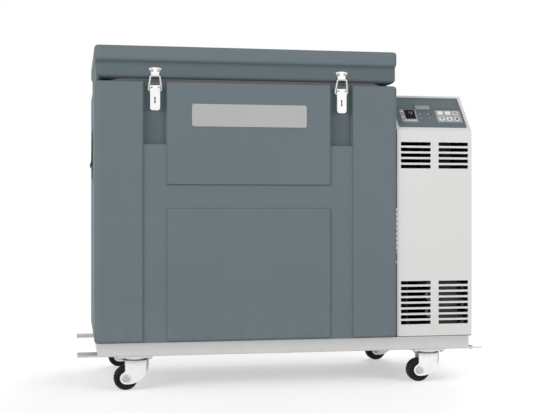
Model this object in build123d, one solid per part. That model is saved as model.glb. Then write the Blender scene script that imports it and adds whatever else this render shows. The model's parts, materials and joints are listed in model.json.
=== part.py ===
from build123d import *
import math
import os

os.makedirs("parts", exist_ok=True)

# All sizes are millimetres. +X runs to the machine cabinet, -Y is the front and +Z is up.
# The origin is on the floor under the middle of the whole object.

# Chassis
chassis_length = 984.0
chassis_depth = 494.0
chassis_height = 34.0
deck_thickness = 2.0
rail_width = 70.0
rail_wall = 3.0
cross_width = 60.0
drain_radius = 4.0
overhang = 8.0

# Tie-down lugs
lug_reach_left = 50.0
lug_reach_right = 39.0
lug_depth = 69.0
lug_thickness = 4.5
lug_hole_radius = 6.5
lug_hole_inset = 15.0
lug_bolt_inset = 9.0
lug_corner_radius = 2.0

# Castors
castor_height = 89.0
wheel_radius = 31.0
wheel_width = 28.0
wheel_hub_radius = 12.0
wheel_hub_proud = 0.5
wheel_dish_depth = 3.0
wheel_tread_height = 9.0
wheel_edge_radius = 5.0
castor_trail = 23.0
castor_inset_left = 95.0
castor_inset_right = 108.0
castor_inset_depth = 36.5
castor_plate_length = 90.0
castor_plate_width = 62.0
castor_plate_thickness = 4.5
castor_plate_corner_radius = 6.0
castor_bolt_spacing_long = 72.0
castor_bolt_spacing_wide = 46.0
race_radius = 32.0
race_taper = 3.0
race_height = 6.0
fork_thickness = 2.5
fork_wheel_gap = 0.9
fork_disc_radius = 33.0
fork_boss_radius = 15.0
fork_nose_reach = 36.0
fork_tail_reach = 1.8
fork_sweep_radius = 54.0
fork_notch_radius = 10.0
kingpin_radius = 6.0
axle_radius = 4.0
axle_head_radius = 8.8
axle_head_height = 4.5
axle_head_rounding = 2.5
axle_nut_radius = 7.8
bolt_radius = 3.0
bolt_head_radius = 5.8
bolt_head_height = 4.0
bolt_head_chamfer = 0.6
bolt_overhang = 3.0

# Chest
chest_length = 792.0
chest_height = 665.0
chest_edge_radius = 15.0
chest_rim_radius = 8.0
shell_wall = 4.0
post_width = 119.0
channel_width = 66.5
relief_depth = 4.0
relief_mouth_radius = 3.0
relief_floor_radius = 2.5
lower_panel_height = 338.5
band_height = 66.5
pocket_depth = 14.5
pocket_height = 160.0
insulation = 60.0
liner_wall = 2.0
liner_corner_radius = 22.0
liner_floor_radius = 12.0
liner_flange_width = 10.0
evaporator_thickness = 1.5
evaporator_height = 360.0
evaporator_margin_top = 90.0

# Nameplate
nameplate_length = 300.0
nameplate_height = 58.0
nameplate_thickness = 1.6
nameplate_corner_radius = 6.0
nameplate_chamfer = 0.6
nameplate_drop = 56.0

# Lid
lid_bevel_height = 10.0
lid_bevel_width = 23.0
lid_bevel_corner_radius = 5.0
lid_lower_height = 36.0
lid_upper_height = 40.0
lid_step = 4.0
lid_gap = 4.0
lid_wall = 4.0
plug_depth = 28.0
plug_wall = 2.5
plug_gap = 4.5
plug_flange_width = 10.0
plug_floor_radius = 6.0
gasket_width = 16.0
gasket_inset_front = 13.0
gasket_inset_side = 36.0
gasket_corner_radius = 34.0
gasket_gap = 0.3

# Draw latches
keeper_width = 32.0
keeper_neck_width = 20.0
keeper_height = 24.0
keeper_thickness = 1.5
keeper_nose = 2.0
keeper_drop = 3.0
keeper_neck_height = 9.0
keeper_corner_drop = 3.0
screw_spacing = 18.0
screw_drop = 8.0
screw_head_radius = 3.2
screw_head_height = 1.4
screw_head_rounding = 1.1
bail_radius = 2.0
bail_width_top = 27.5
bail_width_bottom = 37.5
bail_gap = 0.4
bail_height = 36.0
bail_bend_radius = 3.2
bail_foot_gap = 0.4
lever_width = 24.6
lever_length = 64.0
lever_thickness = 2.0
lever_wall = 1.5
lever_front_offset = 0.5
lever_pin_boss = 3.3
lever_bail_boss = 3.8
lever_roll = 4.0
lever_flange = 4.5
lever_flange_rise = 12.0
lever_corner_radius = 6.5
lever_slot_offset = 0.6
lever_slot_drop = 38.0
lever_slot_length = 16.0
lever_slot_width = 2.4
lever_slot_holes = (33.0, 44.5)
lever_slot_hole_radius = 1.9
lever_arm = 10.0
lever_arm_angle = 15.0
lever_pin_depth = 10.0
latch_pin_radius = 1.5
latch_base_thickness = 1.5
latch_base_width = 19.0
latch_base_height = 46.0
latch_base_rise = 2.0
latch_ear_thickness = 1.5
latch_ear_radius = 3.4
latch_ear_drop = 12.0

# Lid hinges
hinge_length = 80.0
hinge_leaf_height = 42.0
hinge_leaf_thickness = 3.0
hinge_barrel_radius = 5.5
hinge_offset = 6.5
hinge_pin_radius = 2.5
hinge_inset = 150.0
knuckle_gap = 0.4
lid_leaf_margin_low = 2.0
lid_leaf_margin_high = 6.0
hinge_neck_reach = 6.0
hinge_neck_outer = 3.0
hinge_neck_inner = 5.0
hinge_neck_offset = 2.0
hinge_screw_radius = 4.2
hinge_screw_height = 1.6

# Drop handles
cup_width = 168.0
cup_height = 134.0
cup_depth = 40.0
cup_wall = 2.5
cup_lip = 7.0
cup_lip_thickness = 1.5
cup_corner_radius = 12.0
cup_inner_radius = 6.0
cup_rise = 553.0
grip_radius = 9.5
grip_reach = 7.0
grip_rounding = 3.0
handle_arm_width = 12.0
handle_arm_thickness = 8.0
handle_drop = 76.5
handle_inset = 5.5
handle_pivot_drop = 15.5
handle_pin_radius = 3.5
handle_side_gap = 0.8

# Machine cabinet
cabinet_width = 208.0
cabinet_gap = 1.0
cabinet_setback = 10.0
cabinet_sheet = 2.0
cabinet_bend_radius = 6.0
sheet_gap = 0.2
cabinet_front_height = 548.0
side_flange_width = 24.0
slope_run = 96.0
slope_rise = 103.0
vent_height = 9.6
vent_pitch = 15.1
vent_margin = 10.5
vent_middle = 22.0
vent_corner_radius = 1.5
upper_vent_rows = 5
lower_vent_rows = 8
upper_vent_margin = 30.0
lower_vent_margin = 33.0
rear_vent_rows = 10
rear_vent_rise = 197.0

# Control face, laid out on the slope
fascia_margin_side = 10.0
fascia_margin_low = 14.0
fascia_margin_high = 10.0
fascia_thickness = 2.0
fascia_corner_radius = 4.0
flap_low = 88.0
flap_high = 127.0
flap_thickness = 1.5
flap_side_gap = 0.5
flap_margin = 6.0
flap_lift = 0.1
flap_bead_radius = 1.2
flap_pin_radius = 0.6
flap_pin_seat = 3.0
flap_pin_reach = 6.0
flap_ledge = 2.5
tab_margin = 51.0
tab_width = 41.0
tab_low = 83.5
tab_high = 99.5
tab_thickness = 2.2
tab_corner_radius = 1.5
well_depth = 14.0
well_wall = 1.5
window_edge_side = 3.0
window_edge_low = 5.0
display_margin = 12.0
display_width = 43.0
display_low = 32.5
display_high = 80.0
display_depth = 34.0
display_proud = 1.0
display_rim = 1.5
display_rim_radius = 2.0
display_corner_radius = 1.0
display_window_left = 13.5
display_window_right = 4.0
display_window_low = 14.0
display_window_high = 1.5
display_window_depth = 0.6
lamp_radius = 2.0
lamp_spacing_across = 23.0
lamp_spacing_up = 16.0
lamp_rise = 15.5
lamp_room_share = 0.327
lamp_gap = 0.1
lamp_proud = 0.8
lamp_depth = 6.0
lamp_flange = 1.0
keypad_margin = 7.2
keypad_width = 69.3
keypad_low = 33.0
keypad_high = 79.8
keypad_proud = 0.8
keypad_depth = 9.0
keypad_wall = 2.0
keypad_floor = 1.5
keypad_corner_radius = 1.0
key_width = 15.0
key_depth = 12.5
key_corner_radius = 2.0
key_round_radius = 7.1
key_columns = (13.0, 34.5, 55.5)
key_rows = (12.3, 36.0)
key_proud = 1.2
key_gap = 0.3
key_travel = 0.6
key_flange = 1.0
key_flange_width = 1.2
key_chamfer = 0.4
switch_size = 6.0
switch_gap = 0.2
switch_embed = 0.5

# Machinery
compressor_radius = 72.0
compressor_height = 168.0
compressor_setback = 340.0
compressor_rounding = 26.0
compressor_lift = 14.0
compressor_base_z = 10.0
compressor_base_thickness = 8.0
compressor_base_margin = 6.0
compressor_base_corner_radius = 12.0
compressor_foot_radius = 10.0
compressor_foot_inset = 8.0
compressor_base_inset = 8.0
compressor_foot_inset_depth = 22.0
terminal_width = 56.0
terminal_reach = 14.0
terminal_embed = 20.0
terminal_z = 60.0
terminal_height = 70.0
compressor_stub_spacing = 48.0
condenser_width = 92.0
condenser_gap = 6.0
condenser_lift = 14.0
condenser_height = 136.0
condenser_thickness = 26.0
condenser_setback = 34.0
fin_pitch = 3.2
fin_thickness = 0.8
coil_radius = 4.0
coil_rows = 6
coil_reach_left = 12.0
fin_margin_left = 12.0
fin_margin_right = 18.0
fan_radius = 40.0
fan_hub_radius = 14.0
fan_blades = 5
fan_thickness = 14.0
fan_clearance = 3.0
fan_gap = 2.0
fan_blade_width = 16.0
fan_blade_thickness = 1.6
fan_blade_pitch = 35.0
fan_cap = 1.2
fan_shaft_radius = 2.5
fan_motor_gap = 5.0
shroud_gap = 2.0
shroud_inset = 2.0
shroud_rear_depth = 14.0
motor_arm_width = 6.0
motor_arm_depth = 4.0
shelf_margin_left = 11.0
line_radius = 4.0
line_bend = 16.0
line_entry_height = 150.0
line_entry_setback = 40.0
line_spacing = 32.0
suction_offset = 30.0
liquid_offset = 40.0
discharge_rise = 40.0
discharge_forward = 160.0
discharge_drop_offset = 26.0
drier_offset = 40.0
drier_radius = 11.0
drier_length = 70.0
drier_rounding = 5.0
power_supply_width = 62.0
power_supply_depth = 150.0
power_supply_height = 90.0
power_supply_lift = 347.0
power_supply_setback = 170.0
power_supply_rounding = 3.0
inlet_width = 50.0
inlet_height = 28.0
inlet_z = 70.0
inlet_flange_thickness = 3.0
inlet_corner_radius = 3.0
inlet_hole_margin_side = 8.0
inlet_hole_margin_height = 2.0
inlet_body_depth = 24.0
inlet_socket_width = 25.0
inlet_socket_height = 17.0
inlet_socket_depth = 18.0
inlet_blade_thickness = 2.0
inlet_blade_height = 5.0
inlet_blade_setback = 3.0
inlet_blade_places = ((-7.0, -2.5), (0.0, 2.5), (7.0, -2.5))

# General clearances, and how far a cut runs past the face it opens
running_gap = 0.06
fit_gap = 0.3
overrun = 1.0

# Places worked out from the sizes
chassis_left = (lug_reach_left - lug_reach_right - chassis_length) / 2
chassis_right = chassis_left + chassis_length
chassis_bottom = castor_height
chassis_top = chassis_bottom + chassis_height
frame_top = chassis_top - deck_thickness

chest_depth = chassis_depth + 2 * overhang
bail_reach = keeper_thickness + keeper_nose + bail_gap + 2 * bail_radius - lid_step
hinge_reach = hinge_offset + hinge_barrel_radius
chest_front = (bail_reach - hinge_reach - chest_depth) / 2
chest_rear = chest_front + chest_depth
chest_left = chassis_left - overhang
chest_right = chest_left + chest_length
chest_bottom = chassis_top
chest_top = chest_bottom + chest_height
chassis_front = chest_front + overhang
chassis_rear = chassis_front + chassis_depth
chest_middle = (chest_left + chest_right) / 2
depth_middle = (chest_front + chest_rear) / 2

wall_total = shell_wall + insulation + liner_wall
tub_left = chest_left + wall_total
tub_right = chest_right - wall_total
tub_front = chest_front + wall_total
tub_rear = chest_rear - wall_total
tub_bottom = chest_bottom + wall_total

lid_bottom = chest_top + lid_gap
lid_tier_bottom = lid_bottom + lid_bevel_height
lid_tier_top = lid_tier_bottom + lid_lower_height
lid_top = lid_tier_top + lid_upper_height
lid_front = chest_front + lid_step

latch_centres = (chest_left + post_width + channel_width / 2, chest_right - post_width - channel_width / 2)
latch_sides = ("left", "right")
keeper_bottom = lid_tier_bottom - keeper_drop
bar_y = lid_front - keeper_thickness - keeper_nose - bail_gap - bail_radius
bar_z = keeper_bottom + bail_radius
bail_pivot_z = bar_z - bail_height
latch_pin_y = chest_front - lever_front_offset + lever_pin_depth
lever_arm_turn = math.radians(lever_arm_angle)
latch_pin_z = bail_pivot_z + lever_arm * math.cos(lever_arm_turn)
bail_pivot_y = latch_pin_y - lever_arm * math.sin(lever_arm_turn)
lever_top = latch_pin_z + lever_pin_boss
lever_front = chest_front - lever_front_offset

hinge_axis_y = chest_rear + hinge_offset
hinge_axis_z = chest_top + lid_gap / 2
hinge_centres = (chest_left + hinge_inset, chest_right - hinge_inset)

cup_top_z = chest_bottom + cup_rise
cup_bottom_z = cup_top_z - cup_height
handle_pivot_z = cup_top_z - handle_pivot_drop
grip_z = handle_pivot_z - handle_drop
grip_inset = grip_radius - grip_reach

cabinet_left = chest_right + cabinet_gap
cabinet_right = cabinet_left + cabinet_width
cabinet_front_y = chest_front + cabinet_setback
cabinet_rear_y = chest_rear
cabinet_bottom = chassis_top
slope_bottom_z = cabinet_bottom + cabinet_front_height
cabinet_top = slope_bottom_z + slope_rise
slope_length = math.hypot(slope_run, slope_rise)
slope_plane = Plane(
    origin=(cabinet_left, cabinet_front_y, slope_bottom_z),
    x_dir=(1, 0, 0),
    z_dir=(0, -slope_rise / slope_length, slope_run / slope_length),
)

swivel_centres = {
    "front_left": (chassis_left + castor_inset_left, chassis_front + castor_inset_depth),
    "front_right": (chassis_right - castor_inset_right, chassis_front + castor_inset_depth),
    "rear_left": (chassis_left + castor_inset_left, chassis_rear - castor_inset_depth),
    "rear_right": (chassis_right - castor_inset_right, chassis_rear - castor_inset_depth),
}


def block(x0, x1, y0, y1, z0, z1):
    """A box between two corners."""
    return Pos((x0 + x1) / 2, (y0 + y1) / 2, (z0 + z1) / 2) * Box(x1 - x0, y1 - y0, z1 - z0)


def rounded_block(x0, x1, y0, y1, z0, z1, radius):
    """A box whose upright edges are rounded."""
    face = RectangleRounded(x1 - x0, y1 - y0, radius)
    return extrude(Pos((x0 + x1) / 2, (y0 + y1) / 2, z0) * face, amount=z1 - z0)


def rod_x(x0, x1, y, z, radius):
    return Pos((x0 + x1) / 2, y, z) * Rot(0, 90, 0) * Cylinder(radius, x1 - x0)


def rod_y(x, y0, y1, z, radius):
    return Pos(x, (y0 + y1) / 2, z) * Rot(90, 0, 0) * Cylinder(radius, y1 - y0)


def rod_z(x, y, z0, z1, radius):
    return Pos(x, y, (z0 + z1) / 2) * Cylinder(radius, z1 - z0)


def along_x(face, x0, x1):
    """A face drawn in (Y, Z), extruded from x0 to x1."""
    return extrude(Plane(origin=(x0, 0, 0), x_dir=(0, 1, 0), z_dir=(1, 0, 0)) * face, amount=x1 - x0)


def along_y(face, y0, y1):
    """A face drawn in (X, Z), extruded from y1 towards the front to y0."""
    return extrude(Plane(origin=(0, y1, 0), x_dir=(1, 0, 0), z_dir=(0, -1, 0)) * face, amount=y1 - y0)


def along_z(face, z0, z1):
    """A face drawn in (X, Y), extruded from z0 to z1."""
    return extrude(Pos(0, 0, z0) * face, amount=z1 - z0)


def on_slope(face, low, high):
    """A face drawn on the control slope, extruded between two heights above its sheet."""
    return extrude(slope_plane * Pos(0, 0, low) * face, amount=high - low)


def slope_rectangle(left, right, low, high, radius=0.0):
    """A rectangle on the control slope, with optional round corners."""
    width = right - left
    height = high - low
    face = RectangleRounded(width, height, radius) if radius else Rectangle(width, height)
    return Pos((left + right) / 2, (low + high) / 2) * face


def polygon(points):
    return make_face(Polyline(*points, close=True))


def hexagon_bolt(x, y, z, head_direction, shank):
    """A hexagon-head bolt: its head stands on z, and the shank runs the other way."""
    head = extrude(RegularPolygon(bolt_head_radius, 6), amount=bolt_head_height)
    head = chamfer(head.edges().group_by(Axis.Z)[-1], bolt_head_chamfer)
    body = head + Pos(0, 0, -shank / 2) * Cylinder(bolt_radius, shank)
    turn = Rot(0, 0, 0) if head_direction > 0 else Rot(180, 0, 0)
    return Pos(x, y, z) * turn * body


def tube_block(x0, x1, y0, y1, z0, z1, wall):
    """A closed box section with a drain hole in its underside."""
    outside = block(x0, x1, y0, y1, z0, z1)
    inside = block(x0 + wall, x1 - wall, y0 + wall, y1 - wall, z0 + wall, z1 - wall)
    drain = rod_z((x0 + x1) / 2, (y0 + y1) / 2, z0 - wall, z0 + 2 * wall, drain_radius)
    return outside - inside - drain


def castor_bolt_places():
    """Where each castor plate is bolted to its rail."""
    places = []
    for x, y in swivel_centres.values():
        for i in (-1, 1):
            for j in (-1, 1):
                places.append((x + i * castor_bolt_spacing_long / 2, y + j * castor_bolt_spacing_wide / 2))
    return places


def chassis_frame():
    """Two long rails, with three cross members between them."""
    rail_faces = ((chassis_front, chassis_front + rail_width), (chassis_rear - rail_width, chassis_rear))
    pieces = []
    for y0, y1 in rail_faces:
        rail = tube_block(chassis_left, chassis_right, y0, y1, chassis_bottom, frame_top, rail_wall)
        for x, y in castor_bolt_places():
            if y0 < y < y1:
                rail -= rod_z(
                    x, y, chassis_bottom - overrun, chassis_bottom + 2 * rail_wall, bolt_radius + fit_gap
                )
        pieces.append(rail)
    for x in cross_member_starts():
        pieces.append(
            tube_block(
                x, x + cross_width, chassis_front + rail_width, chassis_rear - rail_width,
                chassis_bottom, frame_top, rail_wall,
            )
        )
    return pieces


def cross_member_starts():
    """The left faces of the cross members: at both ends, and below the chest's right wall."""
    return (chassis_left, chest_right - cross_width, chassis_right - cross_width)


def base_deck():
    """The sheet that closes the frame and carries the chest and the machinery."""
    return [block(chassis_left, chassis_right, chassis_front, chassis_rear, frame_top, chassis_top)]


def lug_spans():
    """The four lugs as (x0, x1, y0, side)."""
    spans = []
    for y0 in (chassis_front, chassis_rear - lug_depth):
        spans.append((chassis_left - lug_reach_left, chassis_left, y0, "left"))
        spans.append((chassis_right, chassis_right + lug_reach_right, y0, "right"))
    return spans


def tie_down_lugs():
    """Flat tabs welded to both ends of the rails. The right ones hold a bolt each."""
    pieces = []
    for x0, x1, y0, side in lug_spans():
        lug_top = chassis_bottom + lug_thickness
        lug = rounded_block(x0, x1, y0, y0 + lug_depth, chassis_bottom, lug_top, lug_corner_radius)
        inner = x1 if side == "left" else x0
        square_end = inner - 2 * lug_corner_radius if side == "left" else inner + 2 * lug_corner_radius
        lug += block(
            min(inner, square_end), max(inner, square_end), y0, y0 + lug_depth, chassis_bottom, lug_top
        )
        hole_x = (x0 + x1) / 2 if side == "left" else x0 + lug_bolt_inset
        hole_y = y0 + (lug_hole_inset if side == "left" else lug_bolt_inset)
        hole_radius = lug_hole_radius if side == "left" else bolt_radius + fit_gap
        pieces.append(lug - rod_z(hole_x, hole_y, chassis_bottom - overrun, chassis_top, hole_radius))
    return pieces


def chassis_bolts():
    """Bolts through the castor plates and through the right-hand lugs."""
    pieces = []
    shank = castor_plate_thickness + rail_wall + bolt_overhang
    for x, y in castor_bolt_places():
        pieces.append(hexagon_bolt(x, y, chassis_bottom - castor_plate_thickness, -1, shank))
    for x0, x1, y0, side in lug_spans():
        if side == "right":
            pieces.append(
                hexagon_bolt(
                    x0 + lug_bolt_inset, y0 + lug_bolt_inset, chassis_bottom + lug_thickness, 1,
                    lug_thickness + bolt_overhang,
                )
            )
    return pieces


def castor_plates():
    """A pressed plate with its ball race below, for each castor."""
    pieces = []
    for x, y in swivel_centres.values():
        plate = rounded_block(
            x - castor_plate_length / 2, x + castor_plate_length / 2,
            y - castor_plate_width / 2, y + castor_plate_width / 2,
            chassis_bottom - castor_plate_thickness, chassis_bottom, castor_plate_corner_radius,
        )
        race_top = chassis_bottom - castor_plate_thickness
        race = Cone(race_radius, race_radius - race_taper, race_height, rotation=(180, 0, 0))
        plate += Pos(x, y, race_top - race_height / 2) * race
        plate -= rod_z(
            x, y, race_top - race_height - overrun, chassis_bottom + overrun, kingpin_radius + running_gap
        )
        for bx, by in castor_bolt_places():
            if abs(bx - x) < castor_plate_length and abs(by - y) < castor_plate_width:
                plate -= rod_z(bx, by, race_top - overrun, chassis_bottom + overrun, bolt_radius + fit_gap)
        pieces.append(plate)
    return pieces


fork_top = chassis_bottom - castor_plate_thickness - race_height - fit_gap
leg_inside = wheel_width / 2 + fork_wheel_gap
leg_outside = leg_inside + fork_thickness


def fork_profile(x):
    """The fork from the side: a straight nose, a long sweep back to the axle and a notch behind the legs."""
    axle = Vector(x - castor_trail, wheel_radius)
    nose_x = x + fork_nose_reach
    tail_x = axle.X - fork_tail_reach
    sweep_x = nose_x - fork_sweep_radius
    sweep_drop = math.sqrt((fork_sweep_radius - fork_boss_radius) ** 2 - (sweep_x - axle.X) ** 2)
    sweep = Vector(sweep_x, axle.Y + sweep_drop)
    notch_x = tail_x - fork_notch_radius
    notch_rise = math.sqrt((fork_boss_radius + fork_notch_radius) ** 2 - (notch_x - axle.X) ** 2)
    notch = Vector(notch_x, axle.Y + notch_rise)
    to_boss = (axle - sweep).normalized()
    to_notch = (notch - axle).normalized()
    low = sweep + to_boss * fork_sweep_radius
    high = axle + to_notch * fork_boss_radius
    sweep_middle = (Vector(1, 0) + to_boss).normalized()
    notch_middle = (Vector(1, 0) - to_notch).normalized()
    corners = ((tail_x, notch.Y), (tail_x, fork_top), (nose_x, fork_top), (nose_x, sweep.Y))
    return make_face(
        [
            Line(corners[0], corners[1]),
            Line(corners[1], corners[2]),
            Line(corners[2], corners[3]),
            ThreePointArc(corners[3], sweep + sweep_middle * fork_sweep_radius, low),
            ThreePointArc(low, axle - Vector(fork_boss_radius, 0), high),
            ThreePointArc(high, notch + notch_middle * fork_notch_radius, corners[0]),
        ]
    )


def fork_plan(x, y, tail_x, half):
    """The fork from above: two straight sides and a round nose."""
    nose_x = x + fork_nose_reach - leg_outside
    sides = Pos((tail_x + nose_x) / 2, y) * Rectangle(nose_x - tail_x, 2 * half)
    return sides + Pos(nose_x, y) * Circle(half)


def castor_fork(x, y):
    """A pressed fork: a crown with the kingpin, and one wall that wraps round the nose into two legs."""
    axle_x = x - castor_trail
    tail_x = axle_x - fork_tail_reach
    rear_x = axle_x - fork_boss_radius - overrun
    kingpin = rod_z(x, y, fork_top - fork_thickness, chassis_bottom - fit_gap, kingpin_radius)
    wall = fork_plan(x, y, rear_x, leg_outside) - fork_plan(x, y, rear_x - overrun, leg_inside)
    fork = along_z(wall, wheel_radius - fork_boss_radius - overrun, fork_top)
    fork &= along_y(fork_profile(x), y - leg_outside - overrun, y + leg_outside + overrun)
    fork += along_z(fork_plan(x, y, tail_x, leg_outside), fork_top - fork_thickness, fork_top)
    fork += rod_z(x, y, fork_top - fork_thickness, fork_top, fork_disc_radius) + kingpin
    fork -= rod_y(
        axle_x, y - leg_outside - overrun, y + leg_outside + overrun, wheel_radius, axle_radius + running_gap
    )
    return [fork]


def castor_axle(x, y):
    """The axle bolt: a domed head in front and a nut behind."""
    axle_x = x - castor_trail
    shank = rod_y(axle_x, y - leg_outside, y + leg_outside + axle_head_height, wheel_radius, axle_radius)
    head_front = y - leg_outside - axle_head_height
    head = rod_y(axle_x, head_front, y - leg_outside, wheel_radius, axle_head_radius)
    head = fillet(head.edges().group_by(Axis.Y)[0], axle_head_rounding)
    nut = along_y(
        Pos(axle_x, wheel_radius) * RegularPolygon(axle_nut_radius, 6),
        y + leg_outside, y + leg_outside + axle_head_height,
    )
    return [shank + head + nut]


def castor_wheel(x, y):
    """A solid wheel with a round-edged tread, a dished side and a hub."""
    axle_x = x - castor_trail
    half = wheel_width / 2
    tread = rod_y(axle_x, y - half, y + half, wheel_radius, wheel_radius)
    tread = fillet(tread.edges(), wheel_edge_radius)
    for side in (-1, 1):
        near = y + side * (half - wheel_dish_depth)
        far = y + side * (half + overrun)
        dish_radius = wheel_radius - wheel_tread_height
        tread -= rod_y(axle_x, min(near, far), max(near, far), wheel_radius, dish_radius)
    hub_half = half + wheel_hub_proud
    hub = rod_y(axle_x, y - hub_half, y + hub_half, wheel_radius, wheel_hub_radius)
    bore = rod_y(
        axle_x, y - hub_half - overrun, y + hub_half + overrun, wheel_radius, axle_radius + running_gap
    )
    return [tread + hub - bore]


def channel_face(width, depth, front):
    """The cross-section of a channel sunk into a face, with rounded mouth edges and floor corners."""
    mouth = relief_mouth_radius
    floor = relief_floor_radius
    half = width / 2
    bend = math.sqrt(0.5)

    def side(sign):
        return [
            (sign * (half + mouth), front - overrun),
            (sign * (half + mouth), front),
            (sign * (half + mouth - mouth * bend), front + mouth - mouth * bend),
            (sign * half, front + mouth),
            (sign * half, front + depth - floor),
            (sign * (half - floor + floor * bend), front + depth - floor + floor * bend),
            (sign * (half - floor), front + depth),
        ]

    left = side(-1)
    right = side(1)
    edges = []
    for points in (left, right):
        edges.append(Line(points[0], points[1]))
        edges.append(ThreePointArc(points[1], points[2], points[3]))
        edges.append(Line(points[3], points[4]))
        edges.append(ThreePointArc(points[4], points[5], points[6]))
    edges.append(Line(left[6], right[6]))
    edges.append(Line(left[0], right[0]))
    return make_face(edges)


def chest_outside():
    """The outside of the chest: a rounded box with a sunk H and two deep latch pockets in front."""
    body = block(chest_left, chest_right, chest_front, chest_rear, chest_bottom, chest_top)
    body = fillet(body.edges().filter_by(Axis.Z), chest_edge_radius)
    body = fillet(body.edges().group_by(Axis.Z)[-1] + body.edges().group_by(Axis.Z)[0], chest_rim_radius)
    relief_top = channel_face(channel_width - 2 * relief_mouth_radius, relief_depth, chest_front)
    pocket = channel_face(channel_width - 2 * relief_mouth_radius, pocket_depth, chest_front)
    for x in latch_centres:
        body -= along_z(Pos(x, 0) * relief_top, chest_bottom - overrun, chest_top + overrun)
        body -= along_z(Pos(x, 0) * pocket, chest_top - pocket_height, chest_top + overrun)
    band_z = chest_bottom + lower_panel_height + band_height / 2
    band_face = channel_face(band_height - 2 * relief_mouth_radius, relief_depth, chest_front)
    band = extrude(
        Plane(origin=(latch_centres[0], 0, band_z), x_dir=(0, 0, -1), z_dir=(1, 0, 0)) * band_face,
        amount=latch_centres[1] - latch_centres[0],
    )
    return body, band


def cup_block(side, grow):
    """The space of a handle cup, grown by a margin. side is -1 at the chest end, 1 at the cabinet end."""
    face_x = chest_left if side < 0 else cabinet_right
    inner_x = face_x - side * (cup_depth + grow)
    outer_x = face_x + side * overrun
    return block(
        min(inner_x, outer_x), max(inner_x, outer_x),
        depth_middle - cup_width / 2 - grow, depth_middle + cup_width / 2 + grow,
        cup_bottom_z - grow, cup_top_z + grow,
    )


def chest_cavity():
    """The space between the chest's outer shell and its liner flange, before the liner is taken out."""
    cavity = block(
        chest_left + shell_wall, chest_right - shell_wall,
        chest_front + relief_depth + shell_wall, chest_rear - shell_wall,
        chest_bottom + shell_wall, chest_top - shell_wall,
    )
    cavity = fillet(cavity.edges().filter_by(Axis.Z), chest_edge_radius - shell_wall)
    for x in latch_centres:
        cavity -= block(
            x - channel_width / 2 - shell_wall, x + channel_width / 2 + shell_wall,
            chest_front, chest_front + pocket_depth + shell_wall,
            chest_top - pocket_height - shell_wall, chest_top,
        )
    return cavity - cup_block(-1, fit_gap)


def liner_block(grow, z0, z1):
    return rounded_block(
        tub_left - grow, tub_right + grow, tub_front - grow, tub_rear + grow, z0, z1,
        liner_corner_radius + grow,
    )


line_heights = (tub_bottom + line_entry_height, tub_bottom + line_entry_height + line_spacing)
line_y = depth_middle + line_entry_setback


def line_holes(radius):
    """The two passages through the chest's right wall for the refrigerant lines."""
    start = tub_right + liner_wall + evaporator_thickness
    return [rod_x(start, chest_right + overrun, line_y, z, radius) for z in line_heights]


def chest_shell(outside):
    """The chest's outer skin, open at the top for the liner and at the left for the handle cup."""
    shell = outside - chest_cavity()
    shell -= liner_block(liner_wall + fit_gap, chest_top - 2 * shell_wall, chest_top + overrun)
    shell -= cup_block(-1, fit_gap)
    for hole in line_holes(line_radius + fit_gap):
        shell -= hole
    return [shell]


evaporator_top = chest_top - evaporator_margin_top
evaporator_bottom = evaporator_top - evaporator_height


def evaporator_band():
    """A plate evaporator wrapped round the liner inside the insulation."""
    outside = liner_block(liner_wall + evaporator_thickness, evaporator_bottom, evaporator_top)
    return [outside - liner_block(liner_wall, evaporator_bottom - overrun, evaporator_top + overrun)]


def chest_foam():
    """The insulation that fills the space between shell and liner."""
    foam = chest_cavity() - liner_block(liner_wall + fit_gap, tub_bottom - liner_wall, chest_top)
    foam -= liner_block(
        liner_wall + evaporator_thickness + fit_gap, evaporator_bottom - fit_gap, evaporator_top + fit_gap
    )
    for hole in line_holes(line_radius + fit_gap):
        foam -= hole
    return [foam]


def chest_liner():
    """The inner tub, with a flange that rests on the shell's rim."""
    tub = liner_block(liner_wall, tub_bottom - liner_wall, chest_top)
    tub += liner_block(liner_wall + liner_flange_width, chest_top, chest_top + liner_wall)
    inside = liner_block(0, tub_bottom, chest_top + liner_wall + overrun)
    inside = fillet(inside.edges().group_by(Axis.Z)[0], liner_floor_radius)
    return [tub - inside]


def nameplate():
    """The bare metal plate on the upper front panel."""
    top = chest_top - nameplate_drop
    face = Pos(chest_middle, top - nameplate_height / 2) * RectangleRounded(
        nameplate_length, nameplate_height, nameplate_corner_radius
    )
    plate = along_y(face, chest_front - nameplate_thickness, chest_front)
    plate = chamfer(plate.edges().group_by(Axis.Y)[0], nameplate_chamfer)
    return [plate]


def inset_outline(inset, radius, z):
    width = chest_length - 2 * inset
    depth = chest_depth - 2 * inset
    return Pos(chest_middle, depth_middle, z) * RectangleRounded(width, depth, radius)


def lid_outside():
    """The lid's outside: a bevelled underside, a lower tier and a proud upper tier."""
    bevel = loft(
        [
            inset_outline(lid_step + lid_bevel_width, lid_bevel_corner_radius, lid_bottom),
            inset_outline(lid_step, chest_edge_radius - lid_step, lid_tier_bottom),
        ],
        ruled=True,
    )
    lower = extrude(
        inset_outline(lid_step, chest_edge_radius - lid_step, lid_tier_bottom),
        amount=lid_lower_height + overrun,
    )
    upper = extrude(inset_outline(0, chest_edge_radius, lid_tier_top), amount=lid_upper_height)
    upper = fillet(upper.edges().group_by(Axis.Z)[-1], chest_rim_radius)
    upper = chamfer(upper.edges().group_by(Axis.Z)[0], lid_step)
    return bevel + lower + upper


def lid_cavity():
    """The space inside the lid's shell."""
    inset = lid_step + lid_wall
    low = extrude(
        inset_outline(lid_step + lid_bevel_width, lid_bevel_corner_radius, lid_bottom + lid_wall),
        amount=lid_bevel_height,
    )
    high = extrude(
        inset_outline(inset, chest_edge_radius - inset, lid_tier_bottom + lid_wall),
        amount=lid_top - lid_wall - lid_tier_bottom - lid_wall,
    )
    return low + high


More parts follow.
